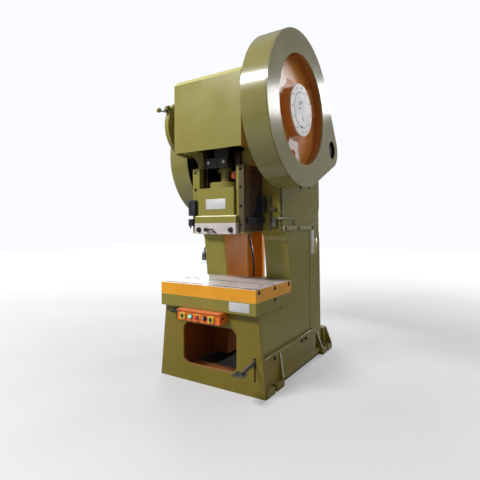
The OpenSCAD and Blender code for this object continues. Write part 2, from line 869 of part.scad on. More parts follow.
module motor() {
    left = wheel_x + flywheel_w + 90;
    length = 420;
    color([0.32, 0.36, 0.36]) placed() {
        difference() {
            union() {
                rod_x(left, motor_y, motor_z, motor_r - 14, length);
                rod_x(left, motor_y, motor_z, motor_r, 26);
                rod_x(left + length - 26, motor_y, motor_z, motor_r, 26);
                for (a = [0:15:345]) rotate_fin(a, left, length);
                // Feet
                block(left + 40, left + length - 40, motor_y - 130, motor_y + 130,
                    motor_z - motor_r - 25, motor_z - motor_r + 20);
                // Fan cowl
                rod_x(left + length, motor_y, motor_z, motor_r - 4, 80);
                // Terminal box
                block(left + 110, left + 230, motor_y + 60, motor_y + 165, motor_z + 30, motor_z + 130);
            }
            rod_x(left - cut, motor_y, motor_z, 25 + run_gap, 60);
            for (a = [0:30:330]) rod_x(left + length + 70, motor_y + 95 * cos(a), motor_z + 95 * sin(a), 12, 20);
        }
    }
}

module rotate_fin(a, left, length) {
    translate([left + 20, motor_y, motor_z]) rotate([a, 0, 0])
        translate([0, -3, 0]) cube([length - 40, 6, motor_r - 2]);
}

module motor_bracket() {
    left = wheel_x + flywheel_w + 130;
    plate_top = motor_z - motor_r - 25;
    color(olive) placed() {
        block(left, left + 340, body_back, motor_y + 140, plate_top - 20, plate_top);
        block(left, left + 340, body_back, body_back + 20, plate_top - 260, plate_top + 40);
        for (x = [left + 20, left + 300]) along_x(x, 20) polygon([
            [body_back + 19, plate_top - 240], [motor_y + 120, plate_top - 30],
            [motor_y + 120, plate_top - 19], [body_back + 19, plate_top - 19]]);
    }
}

module motor_pulley() {
    color([0.3, 0.3, 0.32]) placed() difference() {
        union() {
            rod_x(wheel_x, motor_y, motor_z, pulley_r, flywheel_w);
            rod_x(wheel_x + flywheel_w - cut, motor_y, motor_z, 25, 130);
        }
        belt_grooves(motor_y, motor_z, pulley_r);
        rod_x(wheel_x - cut, motor_y, motor_z, 26, 12);
    }
}

// Crank, brake and clutch

module crankshaft() {
    color(steel) placed() {
        rod_x(web_out - cut, 0, crank_z, journal_r, hub_face_x - 42 - web_out + cut);
        rod_x(-drum_in - drum_w - 10, 0, crank_z, journal_r, drum_in + drum_w + 10 - web_out + cut);
        both_sides() difference() {
            rod_x(web_in, 0, crank_z + 20, web_r, web_out - web_in);
            rod_x(web_in - cut, 0, crank_z + 20, web_r - 30, 8);
        }
        both_sides() rod_x(web_in - cut, 0, crank_z + 20, web_r - 60, 12);
        rod_x(-web_in - cut, 0, pin_z, pin_r, 2 * (web_in + cut));
    }
}

module brake_drum() {
    color(steel) placed() difference() {
        rod_x(-drum_in - drum_w, 0, crank_z, drum_r, drum_w, $fn = 128);
        rod_x(-drum_in - drum_w - cut, 0, crank_z, drum_r - 30, 22, $fn = 128);
        rod_x(-drum_in - drum_w - cut, 0, crank_z, journal_r, drum_w + 2 * cut);
    }
}

module brake_band() {
    color(olive) placed() {
        difference() {
            rod_x(-drum_in - drum_w + 4, 0, crank_z, drum_r + band_t, drum_w - 8, $fn = 128);
            rod_x(-drum_in - drum_w, 0, crank_z, drum_r + face_gap, drum_w + 8, $fn = 128);
            // Gap between the band's two ends
            translate([0, 0, crank_z]) rotate([ear_angle, 0, 0])
                block(-drum_in - drum_w, -drum_in + cut, drum_r - 40, drum_r + 40, -9, 9);
        }
        // Ears that the tension bolt draws together
        for (s = [-1, 1]) translate([0, 0, crank_z]) rotate([ear_angle, 0, 0])
            difference() {
                block(-drum_in - drum_w + 4, -drum_in - 4, drum_r + 2, drum_r + ear_h, s * 17 - 8, s * 17 + 8);
                rod_z(-drum_in - drum_w / 2, ear_bolt_r, s * 17 - 10, 8, 20);
            }
        // Bracket that holds the band to the head
        block(-drum_in - 6, -upper_x, -30, 30, crank_z + drum_r + 1, crank_z + drum_r + 50);
        block(-drum_in - drum_w + 4, -upper_x - 2, -30, 30, crank_z + drum_r + 4, crank_z + drum_r + 16);
    }
}

module brake_lever() {
    color(steel) placed() {
        translate([0, 0, crank_z]) rotate([ear_angle, 0, 0]) {
            rod_z(-drum_in - drum_w / 2, ear_bolt_r, -44, 7.6, 92);
            translate([-drum_in - drum_w / 2, ear_bolt_r, 25]) hex_head(14, 12);
            translate([-drum_in - drum_w / 2, ear_bolt_r, -37]) hex_head(14, 12);
            // Arm with its round grip
            translate([-drum_in - drum_w / 2, ear_bolt_r, 44]) rotate([-ear_angle, 0, 0]) rotate([0, -70, 0]) {
                cylinder(r = 8, h = arm_l);
                translate([0, 0, arm_l]) sphere(r = 26);
            }
        }
    }
}

module clutch_disc() {
    x0 = hub_face_x - 42;
    color(steel) placed() difference() {
        union() {
            rod_x(x0, 0, crank_z, disc_r, 44);
            rod_x(x0 + 40, 30, crank_z - 62, 24, 8);
        }
        for (a = [90, 150, 210])
            rod_x(x0 + 34, 52 * cos(a), crank_z + 30 + 44 * sin(a), 15, 12);
        rod_x(x0 + 30, 0, crank_z - disc_r + 4, 12, 20);
    }
}

// Connecting rod

module connecting_rod() {
    color([0.28, 0.29, 0.28]) placed() difference() {
        union() {
            intersection() {
                rod_x(-rod_half, 0, pin_z, rod_big_r, 2 * rod_half);
                block(-rod_half, rod_half, -400, 400, pin_z - 400, pin_z);
            }
            for (s = [-1, 1]) block(-rod_half, rod_half, s < 0 ? -rod_ear_y : 120, s < 0 ? -120 : rod_ear_y,
                pin_z - 60, pin_z);
            // Tapered shank
            along_x(-80, 160) polygon([
                [-75, rod_low + 90], [75, rod_low + 90], [120, pin_z - 110], [-120, pin_z - 110]]);
            // Split clamp at the lower end
            block(-120, 120, rod_front, 105, rod_low, rod_low + 95);
        }
        rod_x(-rod_half - cut, 0, pin_z, pin_r + run_gap, 2 * rod_half + 2 * cut);
        rod_z(0, 0, rod_low - cut, screw_r, 260);
        block(-3, 3, rod_front - cut, 0, rod_low - cut, rod_low + 96);
        for (x = [-1, 1], y = [-1, 1]) rod_z(x * rod_bolt_x, y * rod_bolt_y, pin_z - 61, 13, 62);
        for (x = [-1, 1]) rod_y(x * 88, rod_front - cut, rod_low + 50, 12, 100);
    }
}

module rod_cap() {
    color([0.28, 0.29, 0.28]) placed() difference() {
        union() {
            intersection() {
                rod_x(-rod_half, 0, pin_z, rod_big_r, 2 * rod_half);
                block(-rod_half, rod_half, -400, 400, pin_z, pin_z + 400);
            }
            for (s = [-1, 1]) block(-rod_half, rod_half, s < 0 ? -rod_ear_y : 120, s < 0 ? -120 : rod_ear_y,
                pin_z, pin_z + 60);
        }
        rod_x(-rod_half - cut, 0, pin_z, pin_r + run_gap, 2 * rod_half + 2 * cut);
        for (x = [-1, 1], y = [-1, 1]) rod_z(x * rod_bolt_x, y * rod_bolt_y, pin_z - cut, 13, 62);
    }
}

module rod_bolts() {
    color(steel) placed() {
        for (x = [-1, 1], y = [-1, 1]) translate([x * rod_bolt_x, y * rod_bolt_y, pin_z]) {
            translate([0, 0, -61]) cylinder(r = 12, h = 122);
            translate([0, 0, 60]) hex_head(21, 16);
            translate([0, 0, -76]) hex_head(21, 16);
        }
        for (x = [-1, 1]) translate([x * 88, rod_front, rod_low + 50]) rotate([90, 0, 0]) {
            hex_head(19, 15);
            translate([0, 0, -90]) cylinder(r = 11, h = 91);
        }
    }
}

module adjusting_screw() {
    color(steel) placed() {
        rod_z(0, 0, ball_z + 30, screw_r, rod_low + 240 - ball_z - 30);
        translate([0, 0, ball_z]) sphere(r = ball_r);
    }
}

module lock_nut() {
    color(steel) placed() difference() {
        union() {
            rod_z(0, 0, rod_low - 34, 72, 34);
            for (a = [0:30:330]) rotate(a) block(66, 76, -7, 7, rod_low - 34, rod_low - 16);
        }
        rod_z(0, 0, rod_low - 35, screw_r, 36);
    }
}

// Slide

module slide() {
    color(olive) placed() difference() {
        union() {
            block(-slide_x, slide_x, slide_front, gib_front, ledge_z - cut, slide_top);
            block(-gib_in, gib_in, gib_front - cut, gib_back + cut, slide_z, slide_top);
            block(-slide_x, slide_x, gib_back, slide_back, slide_z, slide_top);
            // Wide lower front, clear of the rails
            block(-slide_x, slide_x, rail_front - 2, gib_front, slide_z, ledge_z);
            block(-clamp_w / 2, clamp_w / 2, clamp_front + 4, rail_front - 1.5,
                slide_z + clamp_h, ledge_z - 10);
            // Chamfered ledge over the wide part
            along_x(-clamp_w / 2, clamp_w) polygon([
                [clamp_front + 4, ledge_z - 11], [rail_front - 1.5, ledge_z - 11],
                [rail_front - 1.5, ledge_z], [slide_front + 2, ledge_z]]);
        }
        // Seat of the shank clamp
        block(-clamp_w / 2 - cut, clamp_w / 2 + cut, clamp_front - cut, -62, slide_z - cut, slide_z + clamp_h);
        // Pocket of the ball joint, with room towards the back
        block(-ball_r - 8, ball_r + 8, -ball_r - 8, ball_r + 76, ball_z - ball_r - 15, slide_top + cut);
        // Shank bore
        rod_z(0, 0, slide_z - cut, shank_r, shank_depth + cut);
    }
}

module ball_retainer() {
    color(olive) placed() difference() {
        union() {
            rod_z(0, 0, slide_top, dish_r, dish_t);
            rod_z(0, 0, slide_top + dish_t - cut, 92, 10);
        }
        rod_z(0, 0, slide_top - cut, screw_r + 6, dish_t + 12);
        rod_z(0, 66, slide_top - cut, screw_r + 6, dish_t + 12);
        block(-screw_r - 6, screw_r + 6, 0, 66, slide_top - cut, slide_top + dish_t + 12);
        for (a = [30:60:330]) rod_z(130 * cos(a), 130 * sin(a), slide_top + dish_t - 12, 11, 14);
    }
}

module shank_clamp() {
    color(steel) placed() difference() {
        union() {
            block(-clamp_w / 2, clamp_w / 2, clamp_front, rail_front - 1.5, slide_z, slide_z + clamp_h);
            block(-slide_x, slide_x, rail_front - 2, gib_front - cut, slide_z, slide_z + clamp_h);
            block(-gib_in, gib_in, gib_front - 2, -62, slide_z, slide_z + clamp_h);
        }
        for (x = [-1, 1]) rod_y(x * clamp_bolt_x, clamp_front - cut, clamp_bolt_z, 15, 150);
        rod_y(lever_x, clamp_front - cut, clamp_bolt_z, lever_r + run_gap, 150);
    }
}

module clamp_bolts() {
    color(dark) placed() for (x = [-1, 1])
        translate([x * clamp_bolt_x, clamp_front, clamp_bolt_z]) rotate([90, 0, 0]) {
            cylinder(r = 26, h = 5);
            hex_head(22, 20);
            cylinder(r = 13, h = 34);
            translate([0, 0, -clamp_bolt_l]) cylinder(r = 15, h = clamp_bolt_l + cut);
        }
}

module clamp_lever() {
    color(dark) placed() {
        rod_y(lever_x, clamp_front - 26, clamp_bolt_z, lever_r, 150);
        rod_y(lever_x, clamp_front - 38, clamp_bolt_z, 19, 26);
        // Bent tommy bar
        rod_x(lever_x, clamp_front - 26, clamp_bolt_z + 4, 8, 74);
        translate([lever_x + 74, clamp_front - 26, clamp_bolt_z + 4]) {
            sphere(r = 8);
            rotate([0, 130, 0]) cylinder(r = 8, h = 52);
        }
    }
}

module stop_block() {
    color([0.78, 0.28, 0.14]) placed() {
        block(124, gib_in + face_gap, -80, -36, 1935, 2005);
        block(124, 150, -80 - 8, -20, 1950, 1990);
    }
}

// Controls

module control_box() {
    wall = 3;
    color([0.84, 0.37, 0.18]) placed() difference() {
        union() {
            block(box_x, box_x + box_w, box_y, front_y, box_z - box_h, box_z - 4);
            block(box_x - 4, box_x + box_w + 4, box_y - 12, front_y, box_z - 8, box_z);
        }
        block(box_x + wall, box_x + box_w - wall, box_y + wall, front_y - wall,
            box_z - box_h + wall, box_z - 8 - wall);
        for (i = [-2, 2]) button_hole(i, 15 + run_gap);
        button_hole(0, 11 + run_gap);
        button_hole(1, 11 + run_gap);
        button_hole(-1, 11);
    }
}

module button_hole(i, r) {
    rod_y(button_x0 + i * button_pitch, box_y - cut, button_z, r, 3 + 2 * cut);
}

module button_guards() {
    color([0.95, 0.78, 0.15]) placed() for (i = [-2, 2])
        translate([button_x0 + i * button_pitch, box_y, button_z]) rotate([90, 0, 0])
            difference() {
                linear_extrude(24) round_rect(56, 60, 12);
                translate([0, 0, -cut]) cylinder(r = 20, h = 30);
                translate([-8, -40, 5]) cube([16, 30, 30]);
            }
}

module round_button(i, r, stem_r, out, tint) {
    color(tint) placed() translate([button_x0 + i * button_pitch, box_y, button_z]) rotate([90, 0, 0]) {
        translate([0, 0, 8]) cylinder(r = r, h = out - 8);
        translate([0, 0, -16]) cylinder(r = stem_r, h = 25);
    }
}

module run_button_left() { round_button(-2, 17, 15, 16, [0.1, 0.45, 0.2]); }

module run_button_right() { round_button(2, 17, 15, 16, [0.1, 0.45, 0.2]); }

module indicator_lamp() {
    color([0.45, 0.85, 0.7]) placed() translate([button_x0 - button_pitch, box_y, button_z]) rotate([90, 0, 0]) {
        translate([0, 0, -16]) cylinder(r = 11, h = 16);
        cylinder(r = 19, h = 8);
        translate([0, 0, 8]) cylinder(r1 = 16, r2 = 13, h = 14);
    }
}

module stop_button() {
    color([0.8, 0.1, 0.12]) placed() translate([button_x0, box_y, button_z]) rotate([90, 0, 0]) {
        translate([0, 0, -16]) cylinder(r = 11, h = 42);
        translate([0, 0, 16]) rotate_extrude()
            polygon([[0, 0], [17, 0], [21, 5], [21, 10], [16, 15], [8, 17.5], [0, 18]]);
    }
}

module selector_knob() {
    color(dark) placed() translate([button_x0 + button_pitch, box_y, button_z]) rotate([90, 0, 0]) {
        translate([0, 0, -16]) cylinder(r = 11, h = 17);
        translate([0, 0, face_gap]) cylinder(r = 19, h = 8);
        translate([-5, -18, 8]) cube([10, 36, 14]);
    }
}

module conduit() {
    color(dark) placed() {
        rod_x(box_x - 128, box_y + 60, box_z - 44, 14, 112);
        rod_x(box_x - 20, box_y + 60, box_z - 44, 20, 20);
        translate([box_x - 128, box_y + 60, box_z - 44]) {
            sphere(r = 14);
            rotate([-90, 0, 0]) cylinder(r = 14, h = 60);
        }
    }
}

// Lamp, light guard and lubrication

module lamp_neck() {
    color(dark) placed() {
        rod_x(-body_x - 14, neck_foot_y, lamp_z - 10, 26, 14);
        translate([-body_x - 14, neck_foot_y, lamp_z]) rotate(180 + neck_turn) {
            // Straight rise, half-round bend, short drop into the lamp
            rod_z(0, 0, -10, 8, 78);
            translate([neck_bend, 0, 68]) rotate([90, 0, 0])
                rotate_extrude(angle = 180) translate([neck_bend, 0]) circle(8);
            rod_z(2 * neck_bend, 0, 52, 8, 16);
        }
    }
}

module lamp_head() {
    color([0.75, 0.77, 0.8]) placed() translate([lamp_x, lamp_y, lamp_z + 52])
        difference() {
            rotate([180, 0, 0]) rotate_extrude()
                polygon([[0, 0], [16, 0], [22, 10], [30, 24], [32, 60], [36, 140], [38, 150], [0, 150]]);
            translate([0, 0, -151]) cylinder(r = 33, h = 22);
        }
}

module light_guard_left() {
    color(dark) placed() {
        block(-326, -neck_x + 58, rail_front - 42, rail_front, 1580, 1735);
        block(-332, -neck_x + 22, rail_front - 36, rail_front, 1478, 1548);
        rod_z(-320, rail_front - 18, 1456, 9, 22);
    }
}

module light_guard_right() {
    color(dark) placed() {
        difference() {
            block(neck_x, neck_x + 62, 96, 186, 1612, 1770);
            for (i = [0:5]) block(neck_x + 34, neck_x + 63, 105 + i * 14, 110 + i * 14, 1611, 1771);
        }
        block(neck_x, neck_x + 34, -100, 190, 1500, 1556);
        block(neck_x, neck_x + 10, 70, 186, 1556 - cut, 1640);
        rod_x(neck_x + 33, -60, 1528, 16, 12);
    }
}

function cable_ring(i) =
    [for (k = [0:cable_sides - 1])
        cable_points[i] + [cable_r * cos(k * 360 / cable_sides), cable_r * sin(k * 360 / cable_sides), 0]];

module slide_cable() {
    rings = len(cable_points);
    points = [for (i = [0:rings - 1]) each cable_ring(i)];
    walls = [for (i = [0:rings - 2], k = [0:cable_sides - 1])
        [i * cable_sides + k, i * cable_sides + (k + 1) % cable_sides,
         (i + 1) * cable_sides + (k + 1) % cable_sides, (i + 1) * cable_sides + k]];
    top = [for (k = [0:cable_sides - 1]) cable_sides - 1 - k];
    bottom = [for (k = [0:cable_sides - 1]) (rings - 1) * cable_sides + k];
    color(dark) placed() polyhedron(points, concat(walls, [top, bottom]));
}

module oil_valves() {
    color([0.55, 0.56, 0.5]) placed() {
        block(426, 470, body_front - 44, body_front, 1465, 1560);
        for (z = [1472, 1640]) {
            block(388, 414, body_front - 30, body_front, z - 14, z + 14);
            rod_x(408, body_front - 16, z, 7, 34);
            rod_x(438, body_front - 16, z, 12, 10);
        }
    }
}

module oil_pipes() {
    color([0.2, 0.2, 0.18]) placed() {
        rod_z(401, body_front - 16, 1426, 6, 46 - 14);
        rod_z(401, body_front - 16, 1486, 6, 140);
        rod_z(401, body_front - 16, 1654, 6, 130);
        rod_z(510, body_front - 7, 1422, 7, 420);
        // Pipe from the valve block to the side
        rod_x(470, body_front - 22, 1548, 7, body_x + 12 - 470);
        translate([body_x + 12, body_front - 22, 1548]) sphere(r = 7);
        rod_y(body_x + 12, body_front - 22, 1548, 7, 300);
        translate([body_x + 12, body_front + 278, 1548]) sphere(r = 7);
        rod_z(body_x + 12, body_front + 278, 1474, 7, 74);
    }
}

module side_strip() {
    color(olive) placed() {
        block(body_x, body_x + 24, 212, 975, 1430, 1474);
        for (y = strip_bolt_y) translate([body_x + 24, y, 1450]) rotate([0, 90, 0]) hex_head(15, 10);
    }
}

module pedal_pin() {
    color(steel) placed() {
        span = pedal_gap + 2 * lug_t;
        rod_x(pedal_x - span / 2 - 4, pedal_pin_y, pedal_z, pedal_pin_r, span + 5);
        rod_x(pedal_x + span / 2 + face_gap, pedal_pin_y, pedal_z, 13, 4);
    }
}

module pedal() {
    color([0.35, 0.36, 0.36]) placed() {
        difference() {
            union() {
                rod_x(pedal_x - pedal_gap / 2 + face_gap, pedal_pin_y, pedal_z, 20, pedal_gap - 2 * face_gap);
                translate([pedal_x - 6, pedal_pin_y, pedal_z]) rotate([8, 0, 0])
                    translate([0, -262, -17]) cube([12, 250, 34]);
            }
            rod_x(pedal_x - 20, pedal_pin_y, pedal_z, pedal_pin_r + run_gap, 40);
        }
        // Chequered treadle
        difference() {
            translate([pedal_x - 74, pedal_tip, pedal_z - 56]) cube([104, 92, 10]);
            for (i = [0:6]) translate([pedal_x - 68 + i * 14, pedal_tip + 6, pedal_z - 48]) cube([7, 80, 3]);
        }
        block(pedal_x - 5.5, pedal_x + 5.5, pedal_tip + 30, pedal_pin_y - 220, pedal_z - 47, pedal_z - 22);
    }
}

base_stand();
c_frame();
frame_bolts();
bolster_plate();
bolster_bolts();
guide_rail_left();
guide_rail_right();
gib_left();
gib_right();
gib_bolts();
head_cover();
cover_screws();
gear_guard();
gear_guard_face();
flywheel_guard();
crank_bushes();
shaft_bearings();
motor();
motor_bracket();
drive_belts();
brake_band();
brake_lever();
stop_block();
control_box();
button_guards();
indicator_lamp();
conduit();
lamp_neck();
lamp_head();
light_guard_left();
light_guard_right();
slide_cable();
oil_valves();
oil_pipes();
side_strip();
pedal_pin();
big_gear();
gear_ring();
drive_shaft();
pinion();
flywheel();
motor_pulley();
crankshaft();
brake_drum();
clutch_disc();
connecting_rod();
rod_cap();
rod_bolts();
adjusting_screw();
lock_nut();
slide();
ball_retainer();
shank_clamp();
clamp_bolts();
clamp_lever();
run_button_left();
run_button_right();
stop_button();
selector_knob();
pedal();
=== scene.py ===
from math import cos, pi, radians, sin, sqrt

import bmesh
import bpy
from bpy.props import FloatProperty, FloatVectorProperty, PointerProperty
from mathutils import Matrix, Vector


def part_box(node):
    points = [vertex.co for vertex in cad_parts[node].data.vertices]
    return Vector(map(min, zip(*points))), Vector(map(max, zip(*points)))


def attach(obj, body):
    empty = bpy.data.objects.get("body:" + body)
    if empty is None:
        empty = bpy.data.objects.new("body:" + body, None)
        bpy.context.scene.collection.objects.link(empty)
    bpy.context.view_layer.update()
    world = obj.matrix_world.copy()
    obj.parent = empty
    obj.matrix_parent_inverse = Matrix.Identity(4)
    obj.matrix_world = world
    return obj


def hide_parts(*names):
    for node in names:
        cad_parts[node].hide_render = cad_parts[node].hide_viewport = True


bl_info = {
    "name": "Stamping Press",
    "version": (1, 0, 0),
    "blender": (4, 5, 0),
    "location": "View3D > Sidebar > Press",
    "description": "Finishes and small parts of an open-back stamping press",
    "category": "Object",
}

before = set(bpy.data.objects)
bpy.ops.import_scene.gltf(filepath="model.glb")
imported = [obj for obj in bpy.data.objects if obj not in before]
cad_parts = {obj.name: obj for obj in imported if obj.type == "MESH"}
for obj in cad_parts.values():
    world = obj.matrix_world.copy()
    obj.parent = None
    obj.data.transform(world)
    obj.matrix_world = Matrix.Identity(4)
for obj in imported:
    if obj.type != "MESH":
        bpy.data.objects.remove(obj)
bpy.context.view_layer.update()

# Places on the press, in metres, worked out from the fixed frame

def middle_of(node):
    low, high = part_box(node)
    return (low + high) / 2


TABLE_LOW, TABLE_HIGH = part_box("bolster_plate")
HOME = Vector((*middle_of("bolster_plate").xy, 0))
CRANK = Vector((HOME.x, HOME.y, middle_of("brake_drum").z))
MOTOR = middle_of("motor_pulley")
GUARD_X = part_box("gear_guard_face")[1].x - HOME.x
COVER_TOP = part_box("head_cover")[1].z
PLATE_Z = TABLE_LOW.z
TABLE_Z = TABLE_HIGH.z
SLAB_THICKNESS = 0.108
BED_Z = PLATE_Z - SLAB_THICKNESS
HEAD_Z = 1.42
COLUMN_X = 0.52
THROAT_X = 0.25
FRONT_Y = -0.3
WALL = 0.025
FOOT_TOP = 0.06
RAIL_TOP = 0.32
RAIL_X = 0.56
PANEL_Y = -0.42
PIPE_Y = 0.195
X, Y, Z = Vector((1, 0, 0)), Vector((0, 1, 0)), Vector((0, 0, 1))

# Material and slot of the small pieces that share them

BLACK = ("blued_steel", "black_steel")
BRIGHT = ("plated_steel", "bright_steel")
DARK = ("dark_plastic", "black_plastic")


def spot(x, y, z):
    """A point measured from the slide's own centre line, in metres."""
    return HOME + Vector((x, y, z))


def round_crank(x, radius, angle):
    """A point on a circle round the crank's axis, at an angle in degrees from the rear."""
    turn = radians(angle)
    return Vector((x, CRANK.y + radius * cos(turn), CRANK.z + radius * sin(turn)))


# Mesh building

def place(point, axis):
    """Takes a shape made along Z at the origin to a point and an axis."""
    turn = Vector(axis).normalized().to_track_quat("Z", "Y").to_matrix().to_4x4()
    return Matrix.Translation(point) @ turn


def soften(bm, edges, width):
    bmesh.ops.bevel(bm, geom=edges, offset=width, offset_type="OFFSET", segments=2,
                    profile=0.5, affect="EDGES", clamp_overlap=True, material=-1)


def add_box(bm, low, high, edge):
    """A block between two corners, with rounded edges."""
    where = Matrix.Translation((low + high) / 2) @ Matrix.Diagonal((*(high - low), 1))
    made = bmesh.ops.create_cube(bm, size=1, matrix=where)
    soften(bm, list({e for v in made["verts"] for e in v.link_edges}), edge)


def add_rod(bm, point, axis, radius, length, edge, sides, radius_top=None):
    """A cylinder or cone that starts at the point and runs along the axis."""
    where = place(point, axis) @ Matrix.Translation((0, 0, length / 2))
    top = radius if radius_top is None else radius_top
    made = bmesh.ops.create_cone(bm, cap_ends=True, segments=sides, radius1=radius, radius2=top,
                                 depth=length, matrix=where)
    if edge > 0:
        rings = [e for e in {e for v in made["verts"] for e in v.link_edges}
                 if any(len(f.verts) == sides for f in e.link_faces)]
        soften(bm, rings, edge)


def add_ball(bm, point, radius, sides, stretch=(1, 1, 1)):
    where = Matrix.Translation(point) @ Matrix.Diagonal((*stretch, 1))
    bmesh.ops.create_uvsphere(bm, u_segments=sides, v_segments=sides // 2, radius=radius, matrix=where)


def add_turned(bm, profile, point, axis, sides):
    """Spin a profile of (radius, height) points round the axis."""
    before = set(bm.verts)
    verts = [bm.verts.new((r, 0, h)) for r, h in profile]
    edges = [bm.edges.new(pair) for pair in zip(verts, verts[1:])]
    bmesh.ops.spin(bm, geom=verts + edges, cent=(0, 0, 0), axis=(0, 0, 1),
                   angle=2 * pi, steps=sides, use_merge=True)
    made = [v for v in bm.verts if v not in before]
    bmesh.ops.transform(bm, matrix=place(point, axis), verts=made)
    bmesh.ops.remove_doubles(bm, verts=made, dist=1e-6)


def add_hex(bm, point, axis, radius, height, washer=0.0):
    """A hexagon head with a chamfered top, on a washer."""
    washer_height, shoulder = 0.003, 0.82
    base = Vector(point)
    if washer > 0:
        add_rod(bm, base, axis, washer, washer_height, 0.0006, 28)
        base = base + Vector(axis).normalized() * washer_height
    add_rod(bm, base, axis, radius, height * shoulder, 0, 6)
    top = base + Vector(axis).normalized() * height * shoulder
    add_rod(bm, top, axis, radius * 0.88, height * (1 - shoulder), 0, 24, radius * 0.8)


def add_cap_screw(bm, point, axis, radius, height, socket, socket_floor, sides):
    """A round head with a chamfered rim and a socket."""
    chamfer = 0.001
    profile = [(0, 0), (radius, 0), (radius, height - chamfer), (radius - chamfer, height),
               (socket, height), (socket, socket_floor), (0, socket_floor)]
    add_turned(bm, profile, point, axis, sides)


def add_bead(bm, start, end, radius):
    """A row of overlapping weld ripples from start to end."""
    ripple_step = 0.014
    run = end - start
    count = max(2, int(run.length / ripple_step))
    for i in range(count + 1):
        swell = 1 + 0.16 * sin(i * 2.3) + 0.08 * sin(i * 5.1)
        where = place(start + run * i / count, run) @ Matrix.Diagonal((swell, swell, 1.25, 1))
        bmesh.ops.create_icosphere(bm, subdivisions=1, radius=radius, matrix=where)


def add_object(name, data):
    made = bpy.data.objects.new(name, data)
    bpy.context.scene.collection.objects.link(made)
    return made


def mesh_object(bm, name, finish):
    """Turn a bmesh into an object with the material of that name."""
    mesh = bpy.data.meshes.new(name)
    bm.to_mesh(mesh)
    bm.free()
    mesh.materials.append(bpy.data.materials[finish])
    return add_object(name, mesh)


def add_piece(bm, name, finish, slot, body="frame", smooth=35):
    """Turn a bmesh into a piece that rides on a body and has the named finish; the slot is not used."""
    bmesh.ops.recalc_face_normals(bm, faces=bm.faces)
    piece = mesh_object(bm, name, finish)
    mesh = piece.data
    mesh.polygons.foreach_set("use_smooth", [True] * len(mesh.polygons))
    mesh.set_sharp_from_angle(angle=radians(smooth))
    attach(piece, body)


# Shader building

def feed(tree, node, sockets):
    """Give each input of a node a value or another node's output."""
    for key, value in sockets.items():
        if isinstance(value, bpy.types.NodeSocket):
            tree.links.new(value, node.inputs[key])
        else:
            node.inputs[key].default_value = value
    return node


def add_node(tree, kind, sockets=None, **settings):
    node = tree.nodes.new("ShaderNode" + kind)
    for key, value in settings.items():
        setattr(node, key, value)
    return feed(tree, node, sockets or {})


def start_group(name, inputs, outputs):
    """An empty shader node group; inputs are names with defaults, whose lengths tell their kinds."""
    tree = bpy.data.node_groups.new(name, "ShaderNodeTree")
    for title, default in inputs.items():
        kind = {3: "Vector", 4: "Color"}[len(default)] if isinstance(default, tuple) else "Float"
        socket = tree.interface.new_socket(title, in_out="INPUT", socket_type="NodeSocket" + kind)
        socket.default_value = default
    for title in outputs:
        kind = {"Color": "Color", "Normal": "Vector"}.get(title, "Float")
        tree.interface.new_socket(title, in_out="OUTPUT", socket_type="NodeSocket" + kind)
    given = tree.nodes.new("NodeGroupInput").outputs
    return tree, given, tree.nodes.new("NodeGroupOutput")


def maths(tree, operation, a, b, clamp=False):
    return add_node(tree, "Math", {0: a, 1: b}, operation=operation, use_clamp=clamp).outputs[0]


def vectors(tree, operation, a, b=(0, 0, 0)):
    return add_node(tree, "VectorMath", {0: a, 1: b}, operation=operation).outputs


def times(tree, a, b, clamp=False):
    return maths(tree, "MULTIPLY", a, b, clamp)


def plus(tree, a, b, clamp=False):
    return maths(tree, "ADD", a, b, clamp)


def blend_colour(tree, amount, a, b, mode="MIX"):
    sockets = {0: amount, 6: a, 7: b}
    return add_node(tree, "Mix", sockets, data_type="RGBA", blend_type=mode).outputs[2]


def noise(tree, scale, detail, stretch=None, rough=0.55):
    """A noise value in Object coordinates, stretched along an axis where wanted."""
    where = add_node(tree, "TexCoord").outputs["Object"]
    if stretch is not None:
        where = add_node(tree, "Mapping", {"Vector": where, "Scale": stretch}).outputs[0]
    sockets = {"Vector": where, "Scale": scale, "Detail": detail, "Roughness": rough}
    return add_node(tree, "TexNoise", sockets).outputs["Fac"]


def levels(tree, value, low, high, to_low=0.0, to_high=1.0):
    sockets = {"Value": value, "From Min": low, "From Max": high, "To Min": to_low, "To Max": to_high}
    return add_node(tree, "MapRange", sockets, clamp=True).outputs[0]


def group_region():
    """White inside a box that stands between two corners."""
    tree, given, result = start_group("Box Region", {"Low": (0, 0, 0), "High": (0, 0, 0)}, ["Mask"])
    where = add_node(tree, "TexCoord").outputs["Object"]
    over = vectors(tree, "SUBTRACT", where, given["Low"])[0]
    under = vectors(tree, "SUBTRACT", given["High"], where)[0]
    axes = add_node(tree, "SeparateXYZ", {0: vectors(tree, "MINIMUM", over, under)[0]}).outputs
    lowest = maths(tree, "MINIMUM", maths(tree, "MINIMUM", axes[0], axes[1]), axes[2])
    feed(tree, result, {"Mask": maths(tree, "GREATER_THAN", lowest, 0.0)})


def group_facing():
    """White where the surface faces a direction."""
    tree, given, result = start_group("Facing", {"Direction": (0, 0, 1)}, ["Mask"])
    normal = add_node(tree, "TexCoord").outputs["Normal"]
    dot = vectors(tree, "DOT_PRODUCT", normal, given["Direction"])["Value"]
    feed(tree, result, {"Mask": levels(tree, dot, 0.6, 0.9)})


def group_edges():
    """Rounded corners in the shading, and a broken mask of the worn sharp edges."""
    tree, given, result = start_group("Edge Wear", {"Radius": 0.004, "Amount": 0.5}, ["Mask", "Normal"])
    rounded = add_node(tree, "Bevel", {"Radius": given["Radius"]}, samples=4).outputs[0]
    true = add_node(tree, "NewGeometry").outputs["Normal"]
    dot = vectors(tree, "DOT_PRODUCT", rounded, true)["Value"]
    broken = levels(tree, noise(tree, 9.0, 6.0), 0.42, 0.62)
    mask = times(tree, times(tree, levels(tree, dot, 0.99, 0.86), broken), given["Amount"], True)
    feed(tree, result, {"Mask": mask, "Normal": rounded})


